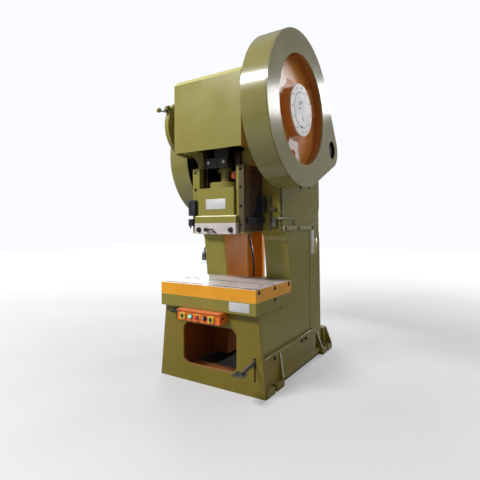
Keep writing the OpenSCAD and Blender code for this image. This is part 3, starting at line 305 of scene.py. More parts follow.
def finish_surface(tree, given, result, colour, cloud, bump):
    """Ends a surface group: gloss follows the cloud, and the bump rides on the rounded corners."""
    gloss = levels(tree, cloud, 0.35, 0.7, given["Gloss Low"], given["Gloss High"])
    uneven = add_node(tree, "Bump", {**bump, "Normal": given["Normal"]}).outputs[0]
    feed(tree, result, {"Color": colour, "Roughness": gloss, "Normal": uneven})


def group_enamel():
    """Brushed and sprayed enamel: mottled colour, uneven gloss and orange peel."""
    inputs = {"Color": (0.5, 0.5, 0.5, 1), "Mottle": 0.12, "Gloss Low": 0.22, "Gloss High": 0.42,
              "Normal": (0, 0, 0)}
    tree, given, result = start_group("Enamel", inputs, ["Color", "Roughness", "Normal"])
    cloud = noise(tree, 2.3, 5.0)
    runs = noise(tree, 3.1, 4.0, (2.5, 2.5, 0.5))
    tone = plus(tree, times(tree, cloud, 0.6), times(tree, runs, 0.4))
    lighter = blend_colour(tree, 1.0, given["Color"], (1.12, 1.12, 1.16, 1), "MULTIPLY")
    darker = blend_colour(tree, 1.0, given["Color"], (0.8, 0.8, 0.76, 1), "MULTIPLY")
    spread = times(tree, levels(tree, tone, 0.35, 0.65, -1.0, 1.0), given["Mottle"])
    colour = blend_colour(tree, levels(tree, spread, -0.25, 0.25), darker, lighter)
    fine, waves = noise(tree, 110.0, 2.0), noise(tree, 7.0, 2.0)
    height = plus(tree, times(tree, fine, 0.35), times(tree, waves, 2.2))
    bump = {"Strength": 0.35, "Distance": 0.0006, "Height": height}
    finish_surface(tree, given, result, colour, cloud, bump)


def group_dust():
    """Pale dust on what faces up, in patches."""
    inputs = {"Color": (0.5, 0.5, 0.5, 1), "Amount": 0.3}
    tree, given, result = start_group("Dust", inputs, ["Color", "Mask"])
    normal = add_node(tree, "TexCoord").outputs["Normal"]
    facing = levels(tree, add_node(tree, "SeparateXYZ", {0: normal}).outputs[2], 0.5, 1.0)
    patches = levels(tree, noise(tree, 5.0, 6.0), 0.3, 0.75)
    mask = times(tree, times(tree, facing, patches), given["Amount"], True)
    colour = blend_colour(tree, mask, given["Color"], (0.42, 0.39, 0.34, 1))
    feed(tree, result, {"Color": colour, "Mask": mask})


def group_machined():
    """Cutter marks: fine streaks along an axis, with a cloudy oil film."""
    inputs = {"Color": (0.6, 0.6, 0.6, 1), "Stretch": (1, 1, 1), "Gloss Low": 0.2, "Gloss High": 0.45,
              "Depth": 0.0003, "Normal": (0, 0, 0)}
    tree, given, result = start_group("Machined", inputs, ["Color", "Roughness", "Normal"])
    streaks = noise(tree, 160.0, 3.0, given["Stretch"], 0.5)
    film = noise(tree, 6.0, 5.0)
    shade = levels(tree, plus(tree, times(tree, streaks, 0.5), film), 0.45, 1.05, 0.8, 1.1)
    tint = add_node(tree, "CombineColor", {0: shade, 1: shade, 2: shade}).outputs[0]
    colour = blend_colour(tree, 1.0, given["Color"], tint, "MULTIPLY")
    bump = {"Strength": 0.4, "Distance": given["Depth"], "Height": streaks}
    finish_surface(tree, given, result, colour, film, bump)


GROUP_MAKERS = {
    "Box Region": group_region, "Facing": group_facing, "Edge Wear": group_edges,
    "Enamel": group_enamel, "Dust": group_dust, "Machined": group_machined}


def use_group(tree, name, sockets):
    """Place a shared effect, building its group the first time, and give its outputs."""
    if name not in bpy.data.node_groups:
        GROUP_MAKERS[name]()
    return add_node(tree, "Group", sockets, node_tree=bpy.data.node_groups[name]).outputs


def new_material(name, sockets):
    """A material with some values set on its shader, its node tree and that shader."""
    material = bpy.data.materials.new(name)
    material.use_nodes = True
    tree = material.node_tree
    return material, tree, feed(tree, tree.nodes["Principled BSDF"], sockets)


def rgba(colour):
    return (*colour[:3], 1.0)


def region_mask(tree, boxes):
    """One mask for several boxes, each (low, high) from the slide's centre line."""
    mask = None
    for low, high in boxes:
        found = use_group(tree, "Box Region", {"Low": spot(*low), "High": spot(*high)})["Mask"]
        mask = found if mask is None else maths(tree, "MAXIMUM", mask, found)
    return mask


def enamel(name, colour, tints=(), bare=None, mottle=0.12, gloss=(0.2, 0.4), wear=0.5, dust=0.25,
           coat=0.15, specular=0.42):
    """Glossy paint over steel; boxes take other paints, painted shade and painted highlights, and a mask
    lays on bare steel, also used as a painted highlight.
    """
    material, tree, shader = new_material(name, {"Specular IOR Level": specular, "Coat Roughness": 0.12})
    edges = use_group(tree, "Edge Wear", {"Amount": wear})
    base, inner = rgba(colour), None
    for tint, boxes in tints:
        tinted = region_mask(tree, boxes)
        inner = tinted if inner is None else maths(tree, "MAXIMUM", inner, tinted)
        base = blend_colour(tree, tinted, base, rgba(tint))
    sprayed = use_group(tree, "Enamel", {"Color": base, "Mottle": mottle, "Gloss Low": gloss[0],
                                         "Gloss High": gloss[1], "Normal": edges["Normal"]})
    worn = blend_colour(tree, edges["Mask"], sprayed["Color"], (0.46, 0.45, 0.36, 1))
    dusty = use_group(tree, "Dust", {"Color": worn, "Amount": dust})
    colour_out, metallic, uncoated = dusty["Color"], 0.0, inner
    rough = plus(tree, sprayed["Roughness"], times(tree, dusty["Mask"], 0.5), True)
    if inner is not None:
        rough = plus(tree, rough, times(tree, inner, 0.35), True)
    if bare is not None:
        mask, steel, stretch = bare(tree)
        worked = use_group(tree, "Machined", {"Color": rgba(steel), "Stretch": stretch, "Gloss Low": 0.3,
                                              "Gloss High": 0.5, "Normal": edges["Normal"]})
        colour_out = blend_colour(tree, mask, colour_out, worked["Color"])
        rough = add_node(tree, "Mix", {0: mask, 2: rough, 3: worked["Roughness"]}).outputs[0]
        metallic, uncoated = times(tree, mask, 0.4), mask
    if uncoated is not None:
        coat = times(tree, maths(tree, "SUBTRACT", 1.0, uncoated), coat)
    feed(tree, shader, {"Base Color": colour_out, "Roughness": rough, "Metallic": metallic,
                        "Coat Weight": coat, "Normal": sprayed["Normal"]})
    return material


def metal(name, colour, stretch=(1, 1, 1), gloss=(0.22, 0.45), metallic=0.9, wear=0.3, depth=0.0003):
    """Turned, milled or plated metal."""
    material, tree, shader = new_material(name, {"Metallic": metallic})
    edges = use_group(tree, "Edge Wear", {"Amount": wear, "Radius": 0.002})
    marks = use_group(tree, "Machined", {
        "Color": rgba(colour), "Stretch": stretch, "Gloss Low": gloss[0], "Gloss High": gloss[1],
        "Depth": depth, "Normal": edges["Normal"]})
    bright = blend_colour(tree, edges["Mask"], marks["Color"], (0.75, 0.73, 0.7, 1))
    feed(tree, shader, {"Base Color": bright, "Roughness": marks["Roughness"], "Normal": marks["Normal"]})
    return material


def moulded(name, colour, gloss=(0.35, 0.5), coat=0.0, dust=0.2):
    """Moulded plastic or rubber."""
    return enamel(name, colour, mottle=0.06, gloss=gloss, wear=0.12, dust=dust, coat=coat)


# Colours and sizes that a user would change

def swatch(title, note, value):
    return FloatVectorProperty(name=title, description=note, subtype="COLOR", size=3,
                               min=0, max=1, default=value)


class PressColours(bpy.types.PropertyGroup):
    olive: swatch("Olive", "Enamel of the body, covers and guards", (0.232, 0.204, 0.038))
    orange: swatch("Orange", "Band round the bolster", (0.76, 0.325, 0.014))
    # A darker copy of the olive: painted shade, as the low stand gets less light.
    stand: swatch("Stand", "Enamel of the stand and its feet", (0.19, 0.144, 0.016))
    inside: swatch("Inside", "Enamel inside the base", (0.36, 0.11, 0.014))
    throat: swatch("Throat", "Enamel of the throat's inner walls", (0.79, 0.29, 0.012))
    vermilion: swatch("Vermilion", "Control box", (0.8, 0.165, 0.02))
    gear: swatch("Gear", "Enamel of the big gear", (0.78, 0.29, 0.055))
    # Painted shade: a dark colour laid on the sides of the neck, which lie in shade under the guard.
    neck_shade: swatch("Shaded_neck", "Sides of the neck", (0.055, 0.038, 0.03))
    steel: swatch("Steel", "Machined faces", (0.64, 0.575, 0.56))
    # Also used for the painted shade inside the head and in the bolster's slots and holes.
    dark: swatch("Dark", "Blackened steel and castings", (0.035, 0.034, 0.033))
    yellow: swatch("Yellow", "Button surrounds", (0.78, 0.48, 0.03))
    green: swatch("Green", "Run buttons", (0.012, 0.13, 0.04))
    red: swatch("Red", "Stop button", (0.56, 0.012, 0.025))
    mint: swatch("Mint", "Lens of the indicator", (0.2, 0.64, 0.43))


class PressStage(bpy.types.PropertyGroup):
    eye: FloatVectorProperty(name="Eye", description="Place of the camera", size=3, subtype="XYZ",
                             unit="LENGTH", default=(2.1737, -3.7193, 1.4913))
    yaw: FloatProperty(name="Yaw", description="Turn of the camera to the left", subtype="ANGLE",
                       default=0.563)
    pitch: FloatProperty(name="Pitch", description="Tilt of the camera upwards", subtype="ANGLE",
                         default=0.028)
    roll: FloatProperty(name="Roll", description="Lean of the camera", subtype="ANGLE", default=-0.007)
    focal: FloatProperty(name="Focal length", description="Focal length in pixels of a 480 pixel frame",
                         default=390.6)
    middle_x: FloatProperty(name="Middle X", description="Pixel column that the camera's axis meets",
                            default=238.6)
    middle_y: FloatProperty(name="Middle Y", description="Pixel row that the camera's axis meets",
                            default=213.5)
    sky: FloatProperty(name="Sky", description="Strength of the light from all round", default=0.4)
    gleam: FloatProperty(name="Gleam", description="Strength of the sky in reflections", default=0.36)
    key: FloatProperty(name="Key", description="Power of the main lamp in watts", default=500.0)


# Stage

class PRESS_OT_stage(bpy.types.Operator):
    """Camera, lamps, sky and floor"""
    bl_idname = "press.stage"
    bl_label = "Stage"

    def execute(self, context):
        values = context.scene.press_stage
        self.make_camera(context, values)
        self.make_world(context, values)
        self.make_floor()
        self.make_lamps(values.key)
        context.scene.view_settings.view_transform = "Standard"
        return {"FINISHED"}

    def make_lamps(self, key):
        middle = (0, -0.3, 1.5)
        mouth = middle_of("lamp_head")
        mouth.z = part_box("lamp_head")[0].z - 0.012
        for name, where, aim, width, height, share in (
                ("key_lamp", (-2.0, -5.0, 6.1), middle, 2.6, 0.8, 1),
                ("side_lamp", (6.0, 0.6, 5.6), middle, 2.0, 2.0, 0.05),
                ("window_lamp", (4.0, 6.0, 4.9), (0.8, -0.4, 2.5), 4.6, 0.8, 0.13),
                ("back_lamp", (-4.8, 4.6, 4.8), middle, 3.0, 3.0, 0.3),
                ("throat_lamp", (0.35, 2.4, 1.5), (-0.2, 0.1, 1.1), 0.4, 0.4, 0.05),
                ("work_light", mouth, spot(-0.32, 0.13, TABLE_Z), 0.05, 0.05, 0.0012)):
            data = bpy.data.lights.new(name, "AREA")
            data.shape = "RECTANGLE"
            data.size, data.size_y = width, height
            data.energy = key * share
            lamp = add_object(name, data)
            ahead = Vector(aim) - Vector(where)
            turn = ahead.normalized().to_track_quat("-Z", "Y").to_matrix().to_4x4()
            lamp.matrix_world = Matrix.Translation(where) @ turn
            lamp.visible_camera = False

    def make_camera(self, context, values):
        yaw, pitch, roll = values.yaw, values.pitch, values.roll
        ahead = Vector((-sin(yaw) * cos(pitch), cos(yaw) * cos(pitch), sin(pitch)))
        side = Vector((cos(yaw), sin(yaw), 0))
        up = side.cross(ahead)
        right = side * cos(roll) + up * sin(roll)
        up = up * cos(roll) - side * sin(roll)
        data = bpy.data.cameras.new("camera")
        frame_px = 480
        data.lens = data.sensor_width * values.focal / frame_px
        data.shift_x = (frame_px / 2 - values.middle_x) / frame_px
        data.shift_y = (values.middle_y - frame_px / 2) / frame_px
        data.clip_end = 100
        camera = add_object("camera", data)
        camera.matrix_world = Matrix.Translation(values.eye) @ Matrix(
            (right, up, -ahead)).transposed().to_4x4()
        context.scene.camera = camera

    def make_world(self, context, values):
        world = bpy.data.worlds.new("sky")
        world.use_nodes = True
        tree = world.node_tree
        tree.nodes.clear()
        path = add_node(tree, "LightPath").outputs
        level = levels(tree, path["Is Glossy Ray"], 0.0, 1.0, values.sky, values.gleam)
        level = maths(tree, "MAXIMUM", level, path["Is Camera Ray"])
        glow = add_node(tree, "Background", {"Color": (0.96, 0.97, 1.0, 1), "Strength": level})
        add_node(tree, "OutputWorld", {"Surface": glow.outputs[0]})
        context.scene.world = world

    def make_floor(self):
        """Pale floor that glows for the camera, more so far away, with a painted shadow under the press."""
        values = {"Roughness": 0.75, "Emission Color": (0.97, 0.97, 1.0, 1)}
        tree, shader = new_material("floor_grey", values)[1:]
        low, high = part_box("base_stand")
        inset = Vector((0.052, 0.03, -1))
        # Painted shadow: under the press the floor is darkened and its glow is taken away.
        under = use_group(tree, "Box Region", {"Low": low + inset, "High": high - inset})["Mask"]
        clear = maths(tree, "SUBTRACT", 1.0, under)
        tone = levels(tree, noise(tree, 0.6, 4.0), 0.3, 0.7, 0.36, 0.4)
        tone = times(tree, tone, levels(tree, clear, 0.0, 1.0, 0.12, 1.0))
        colour = add_node(tree, "CombineColor", {0: tone, 1: tone, 2: times(tree, tone, 0.98)})
        where = add_node(tree, "TexCoord").outputs["Object"]
        away = vectors(tree, "LENGTH", where)["Value"]
        seen = add_node(tree, "LightPath").outputs["Is Camera Ray"]
        glow = times(tree, levels(tree, away, 1.5, 9.0, 0.28, 0.87), seen)
        glow = times(tree, glow, clear)
        feed(tree, shader, {"Base Color": colour.outputs[0], "Emission Strength": glow})
        bm = bmesh.new()
        bmesh.ops.create_grid(bm, x_segments=1, y_segments=1, size=20)
        mesh_object(bm, "floor", "floor_grey")


# Cable: its points are in millimetres from the slide's centre line

CABLE_POINTS = (
    (44, 372, 1420), (46, 374, 1380), (52, 378, 1330), (60, 382, 1280), (69, 386, 1230),
    (77, 390, 1180), (83, 394, 1130), (86, 398, 1080), (84, 402, 1030), (78, 408, 980),
    (70, 416, 930), (62, 424, 880), (56, 430, 840), (54, 432, 815))
CABLE_DIAMETER = 0.02


class PRESS_OT_cable(bpy.types.Operator):
    """Black cable that hangs in the throat behind the slide"""
    bl_idname = "press.cable"
    bl_label = "Cable"

    def execute(self, context):
        points = [spot(x / 1000, y / 1000, z / 1000) for x, y, z in CABLE_POINTS]
        curve = bpy.data.curves.new("slide_cable_sheath", "CURVE")
        curve.dimensions = "3D"
        curve.bevel_depth = CABLE_DIAMETER / 2
        curve.bevel_resolution = 4
        curve.use_fill_caps = True
        curve.resolution_u = 6
        spline = curve.splines.new("BEZIER")
        spline.bezier_points.add(len(points) - 1)
        for bend, point in zip(spline.bezier_points, points):
            bend.co = point
            bend.handle_left_type = bend.handle_right_type = "AUTO"
        curve.materials.append(moulded("cable_sheath", (0.012, 0.012, 0.013), coat=0.2))
        sheath = add_object("slide_cable_sheath", curve)
        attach(sheath, "frame")
        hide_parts("slide_cable")
        return {"FINISHED"}


# Regions of the frame's pieces that have a finish, a painted shade or a painted highlight of their own,
# from the slide's centre line

SKIN = 0.0005


def central(half_width, y_low, y_high, z_low, z_high):
    """A box as far to the left of the centre line as to the right."""
    return (-half_width, y_low, z_low), (half_width, y_high, z_high)


def both_sides(low, high):
    """A box on the right and its mirror image on the left."""
    return (low, high), ((-high[0], *low[1:]), (-low[0], *high[1:]))


THROAT_INSIDE = (central(THROAT_X + SKIN, 0.205, 1.2595, PLATE_Z + SKIN, HEAD_Z - SKIN),
                 central(0.352, 0.7, 1.2595, PLATE_Z + SKIN, HEAD_Z - SKIN))
BED_INSIDE = (central(0.4405, FRONT_Y, 0.3905, 0.0, BED_Z + SKIN),
              central(THROAT_X + SKIN, 0.3, 1.2595, 0.0, BED_Z + SKIN))
# Painted shade: the cavity in the head and the space round the slide are darkened as if under the cover.
HEAD_SHADE = (central(0.2505, -0.1995, 0.3005, 2.25, 2.8005),
               central(0.2185, -0.0465, 0.1905, HEAD_Z + 0.001, 2.5))
# Painted shade on the sides of the neck.
NECK_SIDES = both_sides((0.3015, -0.0475, HEAD_Z + 0.001), (0.3025, 0.2105, 2.06))
# Painted shade along the seam between each column and its leg, a little wider than the groove.
SEAM_SHADE = both_sides((0.5135, 0.8835, 0.328), (0.5205, 0.8965, HEAD_Z))
STAND_INSIDE = (central(0.3055, FRONT_Y + 0.001, FRONT_Y + WALL, 0.1645, 0.5555),
                central(0.515, FRONT_Y + WALL - 0.001, 1.26, -0.001, 0.706))
# Slanted edges of the gussets, which take a painted highlight.
GUSSETS = [both_sides((inner, y, 0.075), (0.6, y + 0.021, top)) for inner, y, top in (
    (0.5612, 0.0395, 0.3), (0.5212, 1.0615, 0.25), (0.5212, 1.3525, 0.25))]
STRIP_HEADS = [((0.5443, 0.2, 1.42), (0.57, 1.0, 1.48))]
GUARD_EDGE = [((GUARD_X - 0.0135, -0.8, 1.7), (GUARD_X + 0.001, 1.2, 3.4))]
# Painted shade on the front of the right rail, beside the slide.
RAIL_SHADE = [((0.246, -0.1505, HEAD_Z), (0.31, -0.04, 2.2))]
# Painted highlight along the slide's ledge.
LEDGE_HIGHLIGHT = [central(0.3, -0.1958, -0.17, 1.567, 1.5785)]
# Painted highlight along the top front edge of the head cover.
COVER_HIGHLIGHT = [central(0.5, -0.3302, -0.2805, COVER_TOP - 0.0495, COVER_TOP - SKIN)]
LEVER_BOLT = [((-0.594, -0.48, 2.2), (-0.2, -0.1, 2.9))]
PLATE_TOP = TABLE_Z - 0.0008
TABLE_TOP = [((-0.6, -0.4, PLATE_TOP), (0.6, 0.4, TABLE_Z + 0.01))]
# Painted shade in the bolster's T-slots and counterbores.
SLOT_SHADE = [central(0.5395, y - 0.03, y + 0.03, TABLE_Z - 0.047, PLATE_TOP) for y in (-0.3, 0, 0.3)]
HOLE_SHADE = [((x - 0.022, y - 0.022, TABLE_Z - 0.03), (x + 0.022, y + 0.022, PLATE_TOP))
               for x in (-0.44, 0.44) for y in (-0.075, 0.075)]
GEAR_PADS = [((0.753, -0.6, 1.9), (0.759, 0.12, 3.2)), ((0.812, -0.25, 2.2), (0.816, 0.25, 2.8))]
PIPE_BEND = [((0.45, 0.17, 1.45), (0.6, 0.1965, 1.6)), ((0.521, 0.17, 1.45), (0.6, 0.6, 1.6))]
PEDAL_LINK = [((0.48, -0.56, 0.2665), (0.505, -0.2, 0.4))]


# Finishes of the fixed frame

def paint(material, *nodes):
    for name in nodes:
        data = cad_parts[name].data
        data.materials.clear()
        data.materials.append(material)


class PRESS_OT_enamel_finish(bpy.types.Operator):
    """Olive, orange and vermilion enamel of the frame, covers, slide and boxes, with painted shade and
    painted highlights in places
    """
    bl_idname = "press.enamel_finish"
    bl_label = "Enamel"

    def execute(self, context):
        c = context.scene.press_colours
        # The first three colours are painted shade for the seams, a painted highlight on the slide's ledge
        # and a painted highlight on the cover's top edge.
        seam_shade_colour, ledge_highlight_colour, shoulder = (0.03, 0.028, 0.015), (0.82, 0.8, 0.5), (0.42, 0.39, 0.13)
        guard, guard_edge = (0.205, 0.185, 0.05), (0.05, 0.045, 0.015)
        shiny = {"gloss": (0.12, 0.3), "coat": 0.6}
        # Besides the paints, body_tints lay painted shade in the head, on the neck's sides and along the
        # seams.
        body_tints = [(c.throat, THROAT_INSIDE), (c.inside, BED_INSIDE), (c.dark, HEAD_SHADE),
                      (c.neck_shade, NECK_SIDES), (seam_shade_colour, SEAM_SHADE)]
        paint(enamel("body_enamel", c.olive, body_tints, specular=0.22), "c_frame")
        # The stand takes the darker, shaded copy of the olive as painted shade.
        paint(enamel("shaded_stand_enamel", c.stand, [(c.inside, STAND_INSIDE)], self.gusset_highlights,
                     specular=0.25), "base_stand")
        paint(enamel("olive_enamel", c.olive, mottle=0.08), "guide_rail_left", "motor_bracket",
              "ball_retainer", "adjusting_screw", "lock_nut", "brake_band", "brake_drum")
        # The head cover's top front edge gets a painted highlight in the lighter olive named shoulder.
        paint(enamel("cover_enamel", (0.225, 0.2, 0.044), [(shoulder, COVER_HIGHLIGHT)], mottle=0.05),
              "head_cover")
        # The right rail's front beside the slide takes a dark painted shade.
        paint(enamel("rail_enamel", c.olive, [((0.075, 0.058, 0.022), RAIL_SHADE)]), "guide_rail_right")
        # The slide's ledge gets a pale painted highlight.
        paint(enamel("slide_enamel", c.olive, [(ledge_highlight_colour, LEDGE_HIGHLIGHT)], mottle=0.08), "slide")
        # The side strip takes a lighter copy of the olive as a painted highlight; its bolt heads are dark.
        paint(enamel("strip_highlight_enamel", (0.33, 0.3, 0.1), [(c.dark, STRIP_HEADS)]), "side_strip")
        paint(enamel("lever_enamel", c.olive, [(c.dark, LEVER_BOLT)]), "brake_lever")
        paint(enamel("guard_enamel", guard, mottle=0.06, **shiny), "flywheel_guard")
        paint(enamel("edged_enamel", guard, [(guard_edge, GUARD_EDGE)], mottle=0.06, **shiny), "gear_guard")
        # The guard's face takes a paler, greyer copy of the guard's olive: a painted sheen of reflected
        # light.
        paint(enamel("face_sheen_enamel", (0.285, 0.25, 0.085), **shiny), "gear_guard_face")
        paint(enamel("vermilion_enamel", c.vermilion, mottle=0.08), "control_box")
        paint(enamel("stop_enamel", (0.5, 0.085, 0.025)), "stop_block")
        # The bolster's T-slots and counterbores take painted shade.
        paint(enamel("bolster_enamel", c.orange, [(c.dark, SLOT_SHADE + HOLE_SHADE)], self.table_top,
                     dust=0.0), "bolster_plate")
        paint(enamel("gear_enamel", c.gear, bare=self.gear_pads, dust=0.0, gloss=(0.22, 0.38)), "big_gear")
        return {"FINISHED"}

    def gusset_highlights(self, tree):
        """Painted highlight on the slanted edges of the stand's gussets, laid on as pale bare steel."""
        masks = []
        for side, boxes in zip((1, -1), zip(*GUSSETS)):
            facing = use_group(tree, "Facing", {"Direction": (side, 0, 0.2)})["Mask"]
            masks.append(times(tree, region_mask(tree, boxes), facing))
        return maths(tree, "MAXIMUM", *masks), (0.66, 0.64, 0.55), (1, 1, 1)

    def table_top(self, tree):
        """Machined top of the bolster."""
        return region_mask(tree, TABLE_TOP), (0.74, 0.68, 0.66), (0.05, 1, 1)

    def gear_pads(self, tree):
        """Machined pads on the gear's web, and its hub face."""
        facing = use_group(tree, "Facing", {"Direction": (1, 0, 0)})["Mask"]
        return times(tree, region_mask(tree, GEAR_PADS), facing), (0.86, 0.76, 0.72), (1, 1, 1)


class PRESS_OT_metal_finish(bpy.types.Operator):
    """Steel, iron, bronze and aluminium parts"""
    bl_idname = "press.metal_finish"
    bl_label = "Metal"

    def execute(self, context):
        c = context.scene.press_colours
        along_x, along_z = (0.2, 1, 1), (1, 1, 0.2)
        paint(metal("milled_steel", c.steel, gloss=(0.4, 0.6), metallic=0.3), "shank_clamp")
        paint(metal("ring_steel", (1.0, 0.95, 0.92), gloss=(0.42, 0.6), metallic=0.12), "gear_ring")
        paint(metal("turned_steel", (0.9, 0.89, 0.88), gloss=(0.42, 0.6), metallic=0.2), "clutch_disc")
        paint(metal("shaft_steel", (0.46, 0.45, 0.43), along_x), "crankshaft")
        paint(metal("oiled_steel", (0.1, 0.098, 0.09), along_x), "drive_shaft", "pinion")
        paint(metal("plated_steel", (0.48, 0.47, 0.45)),
              "bolster_bolts", "cover_screws", "pedal_pin", "rod_bolts")
        paint(metal("blued_steel", c.dark, gloss=(0.3, 0.5), metallic=0.5, wear=0.4),
              "frame_bolts", "clamp_bolts", "clamp_lever", "gib_bolts")
        paint(enamel("pipe_enamel", c.dark, [((0.36, 0.36, 0.27), PIPE_BEND)], gloss=(0.2, 0.35)),
              "oil_pipes")
        paint(enamel("pedal_paint", c.dark, [((0.075, 0.075, 0.055), PEDAL_LINK)], wear=0.8), "pedal")
        paint(metal("oiled_casting", (0.055, 0.052, 0.045), gloss=(0.3, 0.5), metallic=0.5, depth=0.001),
              "connecting_rod")
        paint(metal("cap_casting", (0.19, 0.155, 0.135), gloss=(0.35, 0.5), metallic=0.5, depth=0.001),
              "rod_cap")
        paint(metal("grey_iron", (0.17, 0.17, 0.17), (0.3, 1, 1), (0.35, 0.6), 0.7),
              "flywheel", "motor_pulley", "shaft_bearings")
        paint(metal("oily_bronze", (0.05, 0.036, 0.028), along_z), "gib_left", "gib_right", "crank_bushes")
        paint(metal("cast_aluminium", (0.25, 0.245, 0.2), gloss=(0.3, 0.5)), "oil_valves")
        paint(metal("lamp_shell", (0.1, 0.115, 0.15), gloss=(0.15, 0.3), metallic=0.6), "lamp_head")
        paint(enamel("motor_enamel", (0.075, 0.09, 0.095), mottle=0.1), "motor")
        return {"FINISHED"}


class PRESS_OT_plastic_finish(bpy.types.Operator):
    """Plastic, rubber and lens parts"""
    bl_idname = "press.plastic_finish"
    bl_label = "Plastic and rubber"

    def execute(self, context):
        c = context.scene.press_colours
        paint(moulded("soft_rubber", (0.014, 0.014, 0.015), dust=0.3),
              "drive_belts", "conduit", "lamp_neck")
        paint(moulded("dark_plastic", (0.012, 0.013, 0.022), coat=0.3),
              "light_guard_left", "light_guard_right", "selector_knob")
        paint(moulded("amber_plastic", c.yellow, coat=0.4), "button_guards")
        paint(moulded("button_green", c.green, coat=0.5), "run_button_left", "run_button_right")
        paint(moulded("button_red", c.red, coat=0.5), "stop_button")
        paint(moulded("lens_plastic", c.mint, gloss=(0.1, 0.2), coat=0.6), "indicator_lamp")
        return {"FINISHED"}


# Plates, welds and fasteners

class PRESS_OT_plates(bpy.types.Operator):
    """Blank riveted plates on the slide, the slab and the rear leg"""
    bl_idname = "press.plates"
    bl_label = "Blank plates"

    def execute(self, context):
        metal("plate_sheet", (0.62, 0.62, 0.62), gloss=(0.3, 0.45), metallic=0.15, wear=0.1)
        enamel("ochre_plate", (0.48, 0.29, 0.035), mottle=0.05)
        for name, finish, body, place_at, out, half_w, half_h in (
                ("slide_plate", "plate_sheet", "ram", (0, -0.18, 1.6885), -Y, 0.115, 0.05),
                ("slab_plate", "plate_sheet", "frame", (0.37, -0.355, 0.768), -Y, 0.105, 0.041),
                ("leg_plate", "plate_sheet", "frame", (COLUMN_X, 0.9835, 1.2855), X, 0.0365, 0.1375),
                ("leg_field", "ochre_plate", "frame", (COLUMN_X, 1.0745, 1.2365), X, 0.0525, 0.0885)):
            bm = bmesh.new()
            self.add_plate(bm, spot(*place_at), out, half_w, half_h)
            add_piece(bm, name, finish, "bright_steel", body)
        return {"FINISHED"}

    def add_plate(self, bm, centre, out, half_w, half_h):
        thickness, rivet_inset, rivet_radius = 0.0025, 0.009, 0.0042
        across = Z.cross(out).normalized()
        corners = [centre - across * half_w - Z * half_h,
                   centre + across * half_w + Z * half_h + out * thickness]
        add_box(bm, Vector(map(min, *corners)), Vector(map(max, *corners)), 0.0008)
        for side in (-1, 1):
            for up in (-1, 1):
                rivet = centre + across * side * (half_w - rivet_inset) + Z * up * (half_h - rivet_inset)
                add_ball(bm, rivet + out * thickness, rivet_radius, 10)


class PRESS_OT_welds(bpy.types.Operator):
    """Weld beads along the gussets, rails, ribs and brackets"""
    bl_idname = "press.welds"
    bl_label = "Welds"

    def execute(self, context):
        bm = bmesh.new()
        toe_z, high, low = FOOT_TOP + 0.002, RAIL_TOP - 0.03, RAIL_TOP - 0.09
        rail, leg, tip = RAIL_X + 0.002, 0.532, 0.594
        for side in (-1, 1):
            for y, top, inner in ((0.04, high, rail), (0.06, high, rail),
                                  (1.062, low, leg), (1.082, low, leg), (1.353, low, leg)):
                add_bead(bm, spot(side * inner, y, FOOT_TOP), spot(side * inner, y, top), 0.0055)
                add_bead(bm, spot(side * inner, y, toe_z), spot(side * tip, y, toe_z), 0.0055)
            for x, rear, z in ((COLUMN_X + 0.002, 0.945, RAIL_TOP + 0.004),
                               (COLUMN_X - 0.006, 0.355, BED_Z - 0.003)):
                add_bead(bm, spot(side * x, FRONT_Y + WALL, z), spot(side * x, rear, z), 0.006)
            add_bead(bm, spot(side * 0.05, 1.262, 0.75), spot(side * 0.5, 1.262, 0.75), 0.003)
        add_piece(bm, "weld_beads", "olive_enamel", "olive_paint", smooth=60)
        return {"FINISHED"}


